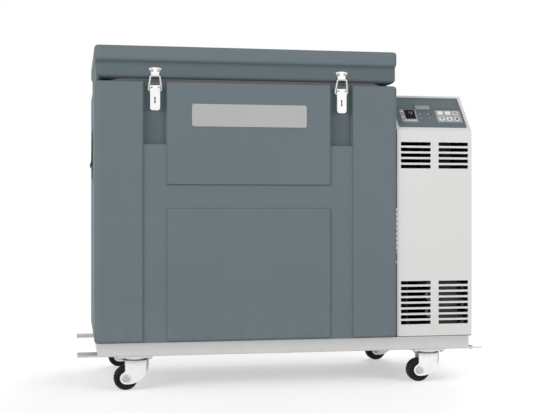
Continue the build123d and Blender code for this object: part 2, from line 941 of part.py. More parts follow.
def plug_block(shrink, z0, z1):
    """The lid's inner plug, drawn in from the chest's opening."""
    inset = plug_gap + shrink
    return rounded_block(
        tub_left + inset, tub_right - inset, tub_front + inset, tub_rear - inset, z0, z1,
        liner_corner_radius - inset,
    )


plug_bottom = chest_top - plug_depth


def lid_shell(outside):
    """The lid's outer skin, open below for the plug."""
    opening = plug_block(-fit_gap, lid_bottom - overrun, lid_bottom + lid_wall + overrun)
    return [outside - lid_cavity() - opening]


def lid_liner():
    """The plug tray under the lid, hung by a flange from the shell's underside."""
    floor_z = lid_bottom + lid_wall
    tray = plug_block(0, plug_bottom, floor_z + plug_wall)
    tray = fillet(tray.edges().group_by(Axis.Z)[0], plug_floor_radius)
    tray += plug_block(-plug_flange_width, floor_z, floor_z + plug_wall)
    tray -= plug_block(plug_wall, plug_bottom + plug_wall, floor_z + plug_wall + overrun)
    return [tray]


def lid_foam():
    """The lid's insulation: a slab with the plug's filling below it."""
    floor_z = lid_bottom + lid_wall
    slab = lid_cavity() - plug_block(-plug_flange_width - fit_gap, floor_z - overrun, floor_z + plug_wall)
    filling = plug_block(plug_wall + fit_gap, plug_bottom + plug_wall, floor_z + plug_wall + overrun)
    return [slab + filling]


def lid_gasket(outside):
    """The rubber seal under the lid. Its top follows the bevel."""
    outer = rounded_block(
        chest_left + gasket_inset_side, chest_right - gasket_inset_side,
        chest_front + gasket_inset_front, chest_rear - gasket_inset_front,
        chest_top + gasket_gap, lid_tier_bottom, gasket_corner_radius,
    )
    inner = rounded_block(
        chest_left + gasket_inset_side + gasket_width, chest_right - gasket_inset_side - gasket_width,
        chest_front + gasket_inset_front + gasket_width, chest_rear - gasket_inset_front - gasket_width,
        chest_top - overrun, lid_tier_bottom + overrun, gasket_corner_radius - gasket_width,
    )
    return [outer - inner - outside]


def latch_keepers():
    """The flared plates on the lid with a rounded nose at the bottom, which the bails bear on."""
    pieces = []
    for x in latch_centres:
        half = keeper_width / 2
        neck = keeper_neck_width / 2
        corner_z = keeper_bottom + keeper_height - keeper_corner_drop
        neck_z = keeper_bottom + keeper_neck_height
        crown = ThreePointArc((x + half, corner_z), (x, keeper_bottom + keeper_height), (x - half, corner_z))
        face = make_face(
            [
                Line((x - neck, keeper_bottom), (x + neck, keeper_bottom)),
                Line((x + neck, keeper_bottom), (x + neck, neck_z)),
                Line((x + neck, neck_z), (x + half, corner_z)),
                crown,
                Line((x - half, corner_z), (x - neck, neck_z)),
                Line((x - neck, neck_z), (x - neck, keeper_bottom)),
            ]
        )
        plate = along_y(face, lid_front - keeper_thickness, lid_front)
        face_y = lid_front - keeper_thickness
        nose = rod_x(x - neck, x + neck, face_y, keeper_bottom + keeper_nose, keeper_nose)
        nose &= block(
            x - neck, x + neck, face_y - keeper_nose, face_y,
            keeper_bottom, keeper_bottom + 2 * keeper_nose,
        )
        pieces.append(plate + nose)
    return pieces


screw_z = keeper_bottom + keeper_height - screw_drop


def keeper_screws():
    """Two dome-head screws in each keeper."""
    pieces = []
    for x in latch_centres:
        for side in (-1, 1):
            face_y = lid_front - keeper_thickness
            screw_x = x + side * screw_spacing / 2
            head = rod_y(screw_x, face_y - screw_head_height, face_y, screw_z, screw_head_radius)
            pieces.append(fillet(head.edges().group_by(Axis.Y)[0], screw_head_rounding))
    return pieces


def latch_bases():
    """The plates on the pocket floors, each with two ears for the lever's pin."""
    pieces = []
    floor_y = chest_front + pocket_depth
    face_y = floor_y - latch_base_thickness
    for x in latch_centres:
        top = latch_pin_z + latch_base_rise
        half = latch_base_width / 2
        plate = block(x - half, x + half, face_y, floor_y, top - latch_base_height, top)
        for side in (-1, 1):
            ear_outer = x + side * half
            ear_inner = x + side * (half - latch_ear_thickness)
            ear_face = make_hull(
                [
                    Line((face_y, latch_pin_z - latch_ear_drop), (face_y, top)),
                    Pos(latch_pin_y, latch_pin_z) * Edge.make_circle(latch_ear_radius),
                ]
            )
            plate += along_x(ear_face, min(ear_outer, ear_inner), max(ear_outer, ear_inner))
        plate -= rod_x(x - lever_width, x + lever_width, latch_pin_y, latch_pin_z, latch_pin_radius)
        pieces.append(plate)
    return pieces


def latch_lever(x):
    """A channel-shaped lever, closed flat, with its top rolled back to clear the pocket."""
    back = latch_pin_y
    top = lever_top
    bottom = lever_top - lever_length
    flange_y = lever_front + lever_flange
    flange_z = bail_pivot_z - lever_flange_rise
    bend = math.sqrt(0.5)
    roll_middle = lever_roll * (1 - bend)
    outside = make_face(
        [
            Line((lever_front, bottom), (lever_front, top - lever_roll)),
            ThreePointArc(
                (lever_front, top - lever_roll),
                (lever_front + roll_middle, top - roll_middle),
                (lever_front + lever_roll, top),
            ),
            Line((lever_front + lever_roll, top), (back, latch_pin_z + lever_pin_boss)),
            ThreePointArc(
                (back, latch_pin_z + lever_pin_boss),
                (back + lever_pin_boss, latch_pin_z),
                (back, latch_pin_z - lever_pin_boss),
            ),
            Line((back, latch_pin_z - lever_pin_boss), (bail_pivot_y + lever_bail_boss, bail_pivot_z)),
            ThreePointArc(
                (bail_pivot_y + lever_bail_boss, bail_pivot_z),
                (bail_pivot_y + lever_bail_boss * bend, bail_pivot_z - lever_bail_boss * bend),
                (bail_pivot_y, bail_pivot_z - lever_bail_boss),
            ),
            Line((bail_pivot_y, bail_pivot_z - lever_bail_boss), (flange_y, flange_z)),
            Line((flange_y, flange_z), (flange_y, bottom)),
            Line((flange_y, bottom), (lever_front, bottom)),
        ]
    )
    half = lever_width / 2
    lever = along_x(outside, x - half, x + half)
    inner_half = half - lever_wall
    behind = back + lever_pin_boss + overrun
    lever -= block(
        x - inner_half, x + inner_half, lever_front + lever_thickness, behind,
        bottom - overrun, top - lever_roll,
    )
    lever -= block(
        x - inner_half, x + inner_half, lever_front + lever_roll + lever_thickness / 2, behind,
        bottom - overrun, top + overrun,
    )
    tall = lever_length + 2 * lever_corner_radius
    outline = Pos(x, bottom + tall / 2) * RectangleRounded(lever_width, tall, lever_corner_radius)
    lever &= along_y(outline, lever_front - overrun, behind)
    slot_x = x - lever_slot_offset
    slot = SlotOverall(lever_slot_length, lever_slot_width, rotation=90)
    cut_y = lever_front + lever_thickness + overrun
    lever -= along_y(Pos(slot_x, top - lever_slot_drop) * slot, lever_front - overrun, cut_y)
    for drop in lever_slot_holes:
        lever -= rod_y(slot_x, lever_front - overrun, cut_y, top - drop, lever_slot_hole_radius)
    x0 = x - half - overrun
    x1 = x + half + overrun
    lever -= rod_x(x0, x1, latch_pin_y, latch_pin_z, latch_pin_radius + running_gap)
    lever -= rod_x(x0, x1, bail_pivot_y, bail_pivot_z, bail_radius + running_gap)
    return [lever]


def latch_bail(x):
    """A bent wire: feet in the lever's sides, two converging legs and a straight bar at the keeper."""
    half_low = bail_width_bottom / 2 - bail_radius
    half_high = bail_width_top / 2 - bail_radius
    foot = lever_width / 2 - lever_wall - bail_foot_gap
    points = [
        (x - foot, bail_pivot_y, bail_pivot_z),
        (x - half_low, bail_pivot_y, bail_pivot_z),
        (x - half_high, bar_y, bar_z),
        (x + half_high, bar_y, bar_z),
        (x + half_low, bail_pivot_y, bail_pivot_z),
        (x + foot, bail_pivot_y, bail_pivot_z),
    ]
    path = FilletPolyline(*points, radius=bail_bend_radius)
    section = Plane(origin=points[0], z_dir=(-1, 0, 0)) * Circle(bail_radius)
    return [sweep(section, path)]


def hinge_knuckles(x, chest_side):
    """The stretches of a hinge barrel: the two ends belong to the chest, the middle to the lid."""
    third = hinge_length / 3
    start = x - hinge_length / 2
    if chest_side:
        return [(start, start + third), (start + 2 * third, start + hinge_length)]
    return [(start + third + knuckle_gap, start + 2 * third - knuckle_gap)]


def hinge_leaf(x, chest_side):
    """One leaf of a lid hinge, with its knuckles."""
    third = hinge_length / 3
    if chest_side:
        near_z = hinge_axis_z - hinge_barrel_radius - knuckle_gap
        far_z = near_z - hinge_leaf_height
        face_y = chest_rear
        up = 1
    else:
        near_z = lid_tier_bottom + lid_leaf_margin_low
        far_z = lid_tier_top - lid_leaf_margin_high
        face_y = chest_rear - lid_step
        up = -1
    top_y = face_y + hinge_leaf_thickness
    leaf = block(
        x - hinge_length / 2, x + hinge_length / 2, face_y, top_y, min(near_z, far_z), max(near_z, far_z)
    )
    for screw_x in (x - third, x, x + third):
        leaf += rod_y(screw_x, face_y, top_y + hinge_screw_height, (near_z + far_z) / 2, hinge_screw_radius)
    neck = polygon(
        [
            (face_y, near_z - up * hinge_neck_reach),
            (top_y, near_z - up * hinge_neck_reach),
            (hinge_axis_y + hinge_neck_outer, hinge_axis_z - up * hinge_neck_outer),
            (hinge_axis_y, hinge_axis_z),
            (hinge_axis_y - hinge_neck_inner, hinge_axis_z - up * hinge_neck_offset),
            (face_y, near_z - up * overrun),
        ]
    )
    bore_radius = hinge_pin_radius + (0 if chest_side else running_gap)
    for x0, x1 in hinge_knuckles(x, chest_side):
        leaf += rod_x(x0, x1, hinge_axis_y, hinge_axis_z, hinge_barrel_radius) + along_x(neck, x0, x1)
        leaf -= rod_x(x0 - overrun, x1 + overrun, hinge_axis_y, hinge_axis_z, bore_radius)
    return leaf


def chest_hinge_leaves():
    return [hinge_leaf(x, True) for x in hinge_centres]


def lid_hinge_leaves():
    return [hinge_leaf(x, False) for x in hinge_centres]


def handle_cups():
    """A moulded cup with a lip, set into each end of the object."""
    pieces = []
    for side in (-1, 1):
        face_x = chest_left if side < 0 else cabinet_right
        cup = cup_block(side, 0)
        lip_outer = face_x + side * cup_lip_thickness
        lip = block(
            min(face_x, lip_outer), max(face_x, lip_outer),
            depth_middle - cup_width / 2 - cup_lip, depth_middle + cup_width / 2 + cup_lip,
            cup_bottom_z - cup_lip, cup_top_z + cup_lip,
        )
        lip = fillet(lip.edges().filter_by(Axis.X), cup_corner_radius)
        inner_x = face_x - side * (cup_depth - cup_wall)
        far_x = face_x + side * (cup_lip_thickness + overrun)
        inside = block(
            min(inner_x, far_x), max(inner_x, far_x),
            depth_middle - cup_width / 2 + cup_wall, depth_middle + cup_width / 2 - cup_wall,
            cup_bottom_z + cup_wall, cup_top_z - cup_wall,
        )
        inside = fillet(inside.edges().filter_by(Axis.X), cup_inner_radius)
        cup = cup + lip - inside
        pin_x = face_x - side * handle_inset
        span = cup_width / 2 - cup_wall
        for end in (-1, 1):
            y0 = depth_middle + end * (span - overrun)
            y1 = depth_middle + end * (cup_width / 2 + overrun)
            cup -= rod_y(pin_x, min(y0, y1), max(y0, y1), handle_pivot_z, handle_pin_radius)
        pieces.append(cup)
    return pieces


def handle(side):
    """A drop handle that hangs in its cup: two arms and a round grip."""
    face_x = chest_left if side < 0 else cabinet_right
    pin_x = face_x - side * handle_inset
    grip_x = face_x - side * grip_inset
    outer = cup_width / 2 - cup_wall - handle_side_gap
    inner = outer - handle_arm_thickness
    piece = rod_y(grip_x, depth_middle - outer, depth_middle + outer, grip_z, grip_radius)
    piece = fillet(piece.edges(), grip_rounding)
    for end in (-1, 1):
        y0 = depth_middle + end * inner
        y1 = depth_middle + end * outer
        arm_face = make_hull(
            [
                Pos(pin_x, handle_pivot_z) * Edge.make_circle(handle_arm_width / 2),
                Pos(grip_x, grip_z) * Edge.make_circle(handle_arm_width / 2),
            ]
        )
        piece += along_y(arm_face, min(y0, y1), max(y0, y1))
    for end in (-1, 1):
        y0 = depth_middle + end * (inner - overrun)
        y1 = depth_middle + end * (outer + overrun)
        piece -= rod_y(pin_x, min(y0, y1), max(y0, y1), handle_pivot_z, handle_pin_radius + running_gap)
    return [piece]


def pivot_pins():
    """The pins fixed in the chest and the cabinet: lid hinges, latch levers, handles and the flap."""
    pieces = []
    for x in hinge_centres:
        pieces.append(
            rod_x(x - hinge_length / 2, x + hinge_length / 2, hinge_axis_y, hinge_axis_z, hinge_pin_radius)
        )
    for x in latch_centres:
        pieces.append(
            rod_x(x - lever_width / 2, x + lever_width / 2, latch_pin_y, latch_pin_z, latch_pin_radius)
        )
    inner = cup_width / 2 - cup_wall - handle_side_gap - handle_arm_thickness
    for side in (-1, 1):
        face_x = chest_left if side < 0 else cabinet_right
        pin_x = face_x - side * handle_inset
        for end in (-1, 1):
            y0 = depth_middle + end * inner
            y1 = depth_middle + end * cup_width / 2
            pieces.append(rod_y(pin_x, min(y0, y1), max(y0, y1), handle_pivot_z, handle_pin_radius))
    for x0, x1 in flap_pin_spans():
        pieces.append(flap_rod(x0, x1, flap_pin_radius))
    return pieces


def cabinet_outline(inset):
    """The cabinet's side view in (Y, Z): upright front, control slope, flat top and upright rear."""
    slope_turn = math.atan2(slope_rise, slope_run)
    half_low = (math.pi / 2 - slope_turn) / 2
    low_z = slope_bottom_z - inset * math.tan(half_low)
    high_shift = inset * math.tan(slope_turn / 2)
    return [
        (cabinet_front_y + inset, cabinet_bottom),
        (cabinet_front_y + inset, low_z),
        (cabinet_front_y + slope_run + high_shift, cabinet_top - inset),
        (cabinet_rear_y, cabinet_top - inset),
        (cabinet_rear_y, cabinet_bottom),
    ]


def vent_slots(y0, y1, blocks):
    """Slots through an upright face in two columns, with one block of rows for each (height, rows)."""
    slots = []
    column = (cabinet_width - 2 * vent_margin - vent_middle) / 2
    centres = (cabinet_left + vent_margin + column / 2, cabinet_right - vent_margin - column / 2)
    for start, rows in blocks:
        for row in range(rows):
            z = start + row * vent_pitch + vent_height / 2
            for x in centres:
                face = Pos(x, z) * RectangleRounded(column, vent_height, vent_corner_radius)
                slots.append(along_y(face, y0, y1))
    return slots


fascia_left = fascia_margin_side
fascia_right = cabinet_width - fascia_margin_side
fascia_high = slope_length - fascia_margin_high
flap_left = fascia_left + flap_margin
flap_right = fascia_right - flap_margin
flap_axis_l = flap_high - flap_bead_radius - flap_side_gap
flap_axis_h = flap_bead_radius
tab_left = flap_left + tab_margin
display_left = fascia_left + display_margin
display_right = display_left + display_width
keypad_left = fascia_right - keypad_margin - keypad_width

# The lamps keep their spacing, and this share of the room left over lies on their left.
lamp_reach = lamp_radius + lamp_flange
lamp_room = keypad_left - display_right - lamp_spacing_across - 2 * lamp_reach
lamp_left = display_right + lamp_reach + lamp_room * lamp_room_share
lamp_columns = (lamp_left, lamp_left + lamp_spacing_across)
lamp_rows = (display_low + lamp_rise, display_low + lamp_rise + lamp_spacing_up)
slope_normal = Axis((0, 0, 0), slope_plane.z_dir)


def flap_pin_spans():
    """The two short stretches of pin at the ends of the flap's bead."""
    return [
        (flap_left - flap_pin_seat, flap_left + flap_pin_reach),
        (flap_right - flap_pin_reach, flap_right + flap_pin_seat),
    ]


def cabinet_front():
    """One folded sheet: the front with its vents, the control slope and the top."""
    outer = along_x(polygon(cabinet_outline(0)), cabinet_left, cabinet_right)
    bend = outer.edges().filter_by(Axis.X).group_by(Axis.Y)[0].group_by(Axis.Z)[-1]
    outer = fillet(bend, cabinet_bend_radius)
    points = cabinet_outline(cabinet_sheet)
    points[3] = (cabinet_rear_y + overrun, points[3][1])
    points[4] = (cabinet_rear_y + overrun, cabinet_bottom - overrun)
    points[0] = (points[0][0], cabinet_bottom - overrun)
    sheet = outer - along_x(polygon(points), cabinet_left - overrun, cabinet_right + overrun)
    upper_vent_z = slope_bottom_z - upper_vent_margin - (upper_vent_rows - 1) * vent_pitch - vent_height
    blocks = ((cabinet_bottom + lower_vent_margin, lower_vent_rows), (upper_vent_z, upper_vent_rows))
    for slot in vent_slots(cabinet_front_y - overrun, cabinet_front_y + cabinet_sheet + overrun, blocks):
        sheet -= slot
    window = slope_rectangle(
        fascia_left + window_edge_side, fascia_right - window_edge_side,
        fascia_margin_low + window_edge_low, flap_high + well_wall + fit_gap,
    )
    sheet -= on_slope(window, -3 * cabinet_sheet, cabinet_sheet)
    return [sheet]


def cabinet_side():
    """The right side panel, with a flange on the deck and the hole for the handle cup."""
    points = cabinet_outline(cabinet_sheet + sheet_gap)
    points[3] = (cabinet_rear_y - cabinet_sheet - sheet_gap, points[3][1])
    points[4] = (cabinet_rear_y - cabinet_sheet - sheet_gap, cabinet_bottom)
    panel = along_x(polygon(points), cabinet_right - cabinet_sheet, cabinet_right)
    panel += block(
        cabinet_right - side_flange_width, cabinet_right, points[0][0], points[4][0],
        cabinet_bottom, cabinet_bottom + cabinet_sheet,
    )
    return [panel - cup_block(1, fit_gap)]


def cabinet_back():
    """The rear panel, with vents at mid height and the hole for the mains inlet."""
    inside_y = cabinet_rear_y - cabinet_sheet
    panel = block(
        cabinet_left, cabinet_right, inside_y, cabinet_rear_y, cabinet_bottom,
        cabinet_top - cabinet_sheet - sheet_gap,
    )
    blocks = ((cabinet_bottom + rear_vent_rise, rear_vent_rows),)
    for slot in vent_slots(inside_y - overrun, cabinet_rear_y + overrun, blocks):
        panel -= slot
    return [panel - inlet_block(0, inside_y - overrun, cabinet_rear_y + overrun)]


inlet_x = (cabinet_left + cabinet_right) / 2
inlet_centre_z = cabinet_bottom + inlet_z


def inlet_block(shrink, y0, y1):
    """The space behind the mains inlet's flange, drawn in by a margin."""
    half_width = inlet_width / 2 - inlet_hole_margin_side - shrink
    half_height = inlet_height / 2 - inlet_hole_margin_height - shrink
    return block(
        inlet_x - half_width, inlet_x + half_width, y0, y1,
        inlet_centre_z - half_height, inlet_centre_z + half_height,
    )


def power_inlet():
    """A three-pin mains inlet in the rear panel: flange, socket body and blades."""
    flange_y = cabinet_rear_y + inlet_flange_thickness
    flange = block(
        inlet_x - inlet_width / 2, inlet_x + inlet_width / 2, cabinet_rear_y, flange_y,
        inlet_centre_z - inlet_height / 2, inlet_centre_z + inlet_height / 2,
    )
    inlet = fillet(flange.edges().filter_by(Axis.Y), inlet_corner_radius)
    inlet += inlet_block(fit_gap, cabinet_rear_y - inlet_body_depth, cabinet_rear_y)
    inlet -= block(
        inlet_x - inlet_socket_width / 2, inlet_x + inlet_socket_width / 2,
        cabinet_rear_y - inlet_socket_depth, flange_y + overrun,
        inlet_centre_z - inlet_socket_height / 2, inlet_centre_z + inlet_socket_height / 2,
    )
    for x, z in inlet_blade_places:
        inlet += block(
            inlet_x + x - inlet_blade_thickness / 2, inlet_x + x + inlet_blade_thickness / 2,
            cabinet_rear_y - inlet_socket_depth - overrun, cabinet_rear_y - inlet_blade_setback,
            inlet_centre_z + z - inlet_blade_height / 2, inlet_centre_z + z + inlet_blade_height / 2,
        )
    return [inlet]


def flap_rod(x0, x1, radius):
    """A rod on the flap's hinge line."""
    plane = slope_plane * Plane(origin=(x0, flap_axis_l, flap_axis_h), x_dir=(0, 1, 0), z_dir=(1, 0, 0))
    return extrude(plane * Circle(radius), amount=x1 - x0)


def display_outline(grow, radius):
    return slope_rectangle(
        display_left - grow, display_right + grow,
        display_low - grow, display_high + grow, radius,
    )


def keypad_outline(grow, radius):
    return slope_rectangle(
        keypad_left - grow, keypad_left + keypad_width + grow, keypad_low - grow, keypad_high + grow, radius
    )


def control_fascia():
    """The moulded face on the slope, with a well behind the flap and openings for its parts."""
    face = slope_rectangle(fascia_left, fascia_right, fascia_margin_low, fascia_high, fascia_corner_radius)
    fascia = on_slope(face, 0, fascia_thickness)
    above = fascia_thickness + overrun
    well_left = flap_left - flap_side_gap
    well_right = flap_right + flap_side_gap
    well_outer = slope_rectangle(
        well_left - well_wall, well_right + well_wall, flap_low - well_wall, flap_high + well_wall
    )
    fascia += on_slope(well_outer, -well_depth, fascia_thickness / 2)
    well = slope_rectangle(well_left, well_right, flap_low + flap_ledge, flap_high)
    fascia -= on_slope(well, well_wall - well_depth, above)
    opening = slope_rectangle(well_left, well_right, flap_low, flap_high)
    fascia -= on_slope(opening, fascia_thickness - flap_thickness - fit_gap, above)
    fascia -= on_slope(display_outline(fit_gap, 0), -overrun, above)
    fascia -= on_slope(keypad_outline(fit_gap, 0), -overrun, above)
    for x in lamp_columns:
        for row in lamp_rows:
            fascia -= on_slope(Pos(x, row) * Circle(lamp_radius + lamp_gap), -overrun, above)
    for x0, x1 in flap_pin_spans():
        fascia -= flap_rod(x0, x1, flap_pin_radius)
    return [fascia]


def recorder_cover():
    """The flap over the well: a plate, a bead along its hinge edge and a pull tab."""
    top = fascia_thickness + flap_lift
    plate = slope_rectangle(flap_left, flap_right, flap_low + flap_side_gap, flap_axis_l)
    cover = on_slope(plate, top - flap_thickness, top) + flap_rod(flap_left, flap_right, flap_bead_radius)
    tab_right = tab_left + tab_width
    tab_base = slope_rectangle(tab_left, tab_right, flap_low + 2 * flap_side_gap, tab_high)
    cover += on_slope(tab_base, top - flap_thickness / 2, top + fit_gap)
    tab = slope_rectangle(tab_left, tab_right, tab_low, tab_high, tab_corner_radius)
    cover += on_slope(tab, top + fit_gap, top + fit_gap + tab_thickness)
    for x0, x1 in flap_pin_spans():
        cover -= flap_rod(x0, x1, flap_pin_radius + running_gap)
    return [cover]


def display_module():
    """The controller: a bezel with a sunk display window."""
    top = fascia_thickness + display_proud
    module = on_slope(display_outline(0, display_corner_radius), -display_depth, top)
    module += on_slope(display_outline(display_rim, display_rim_radius), fascia_thickness, top)
    window = slope_rectangle(
        display_left + display_window_left, display_right - display_window_right,
        display_low + display_window_low, display_high - display_window_high, display_corner_radius,
    )
    module -= on_slope(window, top - display_window_depth, top + overrun)
    return [module]


def indicator_lights():
    """Four small domed lamps."""
    pieces = []
    for x in lamp_columns:
        for row in lamp_rows:
            lamp = on_slope(Pos(x, row) * Circle(lamp_radius), -lamp_depth, fascia_thickness + lamp_proud)
            lamp += on_slope(Pos(x, row) * Circle(lamp_radius + lamp_flange), -lamp_depth, 0)
            pieces.append(lamp)
    return pieces


def key_outline(index, grow):
    """One key's outline: square keys in the first two columns, round ones in the third."""
    column, row = index
    if column == 2:
        face = Circle(key_round_radius + grow)
    else:
        face = RectangleRounded(key_width + 2 * grow, key_depth + 2 * grow, key_corner_radius + grow)
    return Pos(keypad_left + key_columns[column], keypad_low + key_rows[row]) * face


key_indexes = [(column, row) for row in (0, 1) for column in (0, 1, 2)]
key_names = {
    (0, 0): "key_down",
    (1, 0): "key_up",
    (2, 0): "key_mute",
    (0, 1): "key_first",
    (1, 1): "key_second",
    (2, 1): "key_power",
}
keypad_top = fascia_thickness + keypad_proud


def keypad_plate():
    """The plate round the keys, with a floor behind that carries their switches."""
    plate = on_slope(keypad_outline(0, keypad_corner_radius), -keypad_depth, keypad_top)
    plate -= on_slope(keypad_outline(-keypad_wall, 0), keypad_floor - keypad_depth, 0)
    switch_top = -key_flange - fit_gap - key_travel - switch_gap
    for index in key_indexes:
        column, row = index
        plate -= on_slope(key_outline(index, key_gap), -overrun, keypad_top + overrun)
        switch = Pos(keypad_left + key_columns[column], keypad_low + key_rows[row])
        switch *= Rectangle(switch_size, switch_size)
        plate += on_slope(switch, keypad_floor - keypad_depth - switch_embed, switch_top)
    return [plate]


def control_key(index):
    """One push key, held from below by a flange."""
    key = on_slope(key_outline(index, 0), -key_flange - fit_gap, keypad_top + key_proud)
    top_face = key.faces().sort_by(slope_normal)[-1]
    key = chamfer(top_face.edges(), key_chamfer)
    key += on_slope(key_outline(index, key_flange_width), -key_flange - fit_gap, -fit_gap)
    return [key]


compressor_x = (cabinet_left + cabinet_right) / 2
compressor_y = cabinet_front_y + compressor_setback


def compressor():
    """A sealed compressor can on a footed base, with a terminal box."""
    can_bottom = cabinet_bottom + compressor_lift
    can = rod_z(compressor_x, compressor_y, can_bottom, can_bottom + compressor_height, compressor_radius)
    can = fillet(can.edges(), compressor_rounding)
    half_width = compressor_radius + compressor_base_margin
    half_depth = compressor_radius - compressor_base_inset
    base_bottom = cabinet_bottom + compressor_base_z
    can += rounded_block(
        compressor_x - half_width, compressor_x + half_width,
        compressor_y - half_depth, compressor_y + half_depth,
        base_bottom, base_bottom + compressor_base_thickness, compressor_base_corner_radius,
    )
    for i in (-1, 1):
        for j in (-1, 1):
            foot_x = compressor_x + i * (compressor_radius - compressor_foot_inset)
            foot_y = compressor_y + j * (compressor_radius - compressor_foot_inset_depth)
            can += rod_z(foot_x, foot_y, cabinet_bottom, base_bottom + overrun, compressor_foot_radius)
    can += block(
        compressor_x - terminal_width / 2, compressor_x + terminal_width / 2,
        compressor_y + compressor_radius - terminal_embed, compressor_y + compressor_radius + terminal_reach,
        cabinet_bottom + terminal_z, cabinet_bottom + terminal_z + terminal_height,
    )
    return [can]


condenser_right = cabinet_right - cabinet_sheet - condenser_gap
condenser_left = condenser_right - condenser_width
condenser_bottom = cabinet_bottom + condenser_lift
condenser_top = condenser_bottom + condenser_height
condenser_front = cabinet_front_y + condenser_setback
condenser_rear = condenser_front + condenser_thickness
coil_y = condenser_front + condenser_thickness / 2
coil_left = condenser_left - coil_reach_left


def coil_heights():
    step = condenser_height / coil_rows
    return [condenser_bottom + step * (row + 0.5) for row in range(coil_rows)]


def condenser():
    """Thin fins on a tube that runs to and fro, with its return bends at both ends."""
    heights = coil_heights()
    points = []
    for row, z in enumerate(heights):
        ends = (coil_left, condenser_right) if row % 2 == 0 else (condenser_right, coil_left)
        points.append((ends[0], coil_y, z))
        points.append((ends[1], coil_y, z))
    path = FilletPolyline(*points, radius=(heights[1] - heights[0]) * 0.49)
    body = sweep(Plane(origin=points[0], z_dir=(1, 0, 0)) * Circle(coil_radius), path)
    count = int((condenser_width - fin_margin_left - fin_margin_right) // fin_pitch)
    for number in range(count):
        x = condenser_left + fin_margin_left + number * fin_pitch
        body += block(x, x + fin_thickness, condenser_front, condenser_rear, condenser_bottom, condenser_top)
    return [body]


fan_x = (condenser_left + condenser_right) / 2
fan_z = (condenser_bottom + condenser_top) / 2
shroud_front = condenser_rear + shroud_gap
shroud_rear = shroud_front + fan_thickness + shroud_rear_depth
fan_front = shroud_front + fan_gap
fan_rear = fan_front + fan_thickness
duct_radius = fan_radius + fan_clearance


def fan_shroud():
    """A frame on the deck that holds the condenser, with a round duct and a motor on three arms."""
    half_width = condenser_width / 2 - shroud_inset
    duct = block(
        fan_x - half_width, fan_x + half_width, shroud_front, shroud_rear, cabinet_bottom, condenser_top
    )
    duct -= rod_y(fan_x, shroud_front - overrun, shroud_rear + overrun, fan_z, duct_radius)
    duct -= block(
        cabinet_right - side_flange_width - fit_gap, cabinet_right,
        shroud_front - overrun, shroud_rear + overrun,
        cabinet_bottom - overrun, cabinet_bottom + cabinet_sheet + fit_gap,
    )
    motor_front = fan_rear + fan_motor_gap - fan_gap
    motor = rod_y(fan_x, motor_front, shroud_rear, fan_z, fan_hub_radius)
    motor += rod_y(fan_x, fan_front + fan_cap + fit_gap, motor_front, fan_z, fan_shaft_radius)
    arm = block(
        -motor_arm_width / 2, motor_arm_width / 2, shroud_rear - motor_arm_depth, shroud_rear,
        fan_hub_radius / 2, duct_radius + overrun,
    )
    for turn in (0, 120, 240):
        motor += Pos(fan_x, 0, fan_z) * Rot(0, turn, 0) * arm
    shelf = block(
        condenser_left + shelf_margin_left, cabinet_right - side_flange_width - fit_gap,
        condenser_front, shroud_front, cabinet_bottom, condenser_bottom - fit_gap,
    )
    return [duct + motor + shelf]


def condenser_fan():
    """The fan that draws air through the condenser."""
    rotor = rod_y(fan_x, fan_front, fan_rear, fan_z, fan_hub_radius)
    blade_length = fan_radius - fan_hub_radius + 4 * overrun
    blade = Box(fan_blade_width, fan_blade_thickness, blade_length)
    blade_place = Pos(0, (fan_front + fan_rear) / 2, (fan_hub_radius + fan_radius) / 2)
    blade = blade_place * Rot(0, 0, fan_blade_pitch) * blade
    for number in range(fan_blades):
        rotor += Pos(fan_x, 0, fan_z) * Rot(0, number * 360 / fan_blades, 0) * blade
    rotor &= rod_y(fan_x, fan_front, fan_rear, fan_z, fan_radius)
    rotor -= rod_y(fan_x, fan_front + fan_cap, fan_rear + overrun, fan_z, fan_shaft_radius + running_gap)
    return [rotor]


def bent_tube(points, radius):
    """A copper line through the points, with round bends."""
    path = FilletPolyline(*points, radius=line_bend)
    first = Vector(*points[0])
    second = Vector(*points[1])
    return sweep(Plane(origin=points[0], z_dir=(second - first).to_tuple()) * Circle(radius), path)


def refrigerant_lines():
    """Discharge line, liquid line with its filter drier, and the suction line back from the chest."""
    heights = coil_heights()
    can_top = cabinet_bottom + compressor_lift + compressor_height
    low, high = line_heights
    evaporator_face = tub_right + liner_wall + evaporator_thickness
    suction_x = cabinet_left + suction_offset
    suction_end = compressor_x - compressor_stub_spacing / 2
    suction = bent_tube(
        [
            (evaporator_face, line_y, high),
            (suction_x, line_y, high),
            (suction_x, compressor_y, high),
            (suction_end, compressor_y, high),
            (suction_end, compressor_y, can_top),
        ],
        line_radius,
    )
    discharge_start = compressor_x + compressor_stub_spacing / 2
    discharge_y = compressor_y - discharge_forward
    discharge_x = coil_left - discharge_drop_offset
    discharge_z = can_top + discharge_rise
    discharge = bent_tube(
        [
            (discharge_start, compressor_y, can_top),
            (discharge_start, compressor_y, discharge_z),
            (discharge_start, discharge_y, discharge_z),
            (discharge_x, discharge_y, discharge_z),
            (discharge_x, coil_y, discharge_z),
            (discharge_x, coil_y, heights[-1]),
            (coil_left, coil_y, heights[-1]),
        ],
        line_radius,
    )
    liquid_x = cabinet_left + liquid_offset
    liquid = bent_tube(
        [
            (evaporator_face, line_y, low),
            (liquid_x, line_y, low),
            (liquid_x, coil_y, low),
            (liquid_x, coil_y, heights[0]),
            (coil_left, coil_y, heights[0]),
        ],
        line_radius,
    )
    drier_rear = line_y - drier_offset
    drier = rod_y(liquid_x, drier_rear - drier_length, drier_rear, low, drier_radius)
    drier = fillet(drier.edges(), drier_rounding)
    return [suction, discharge, liquid + drier]


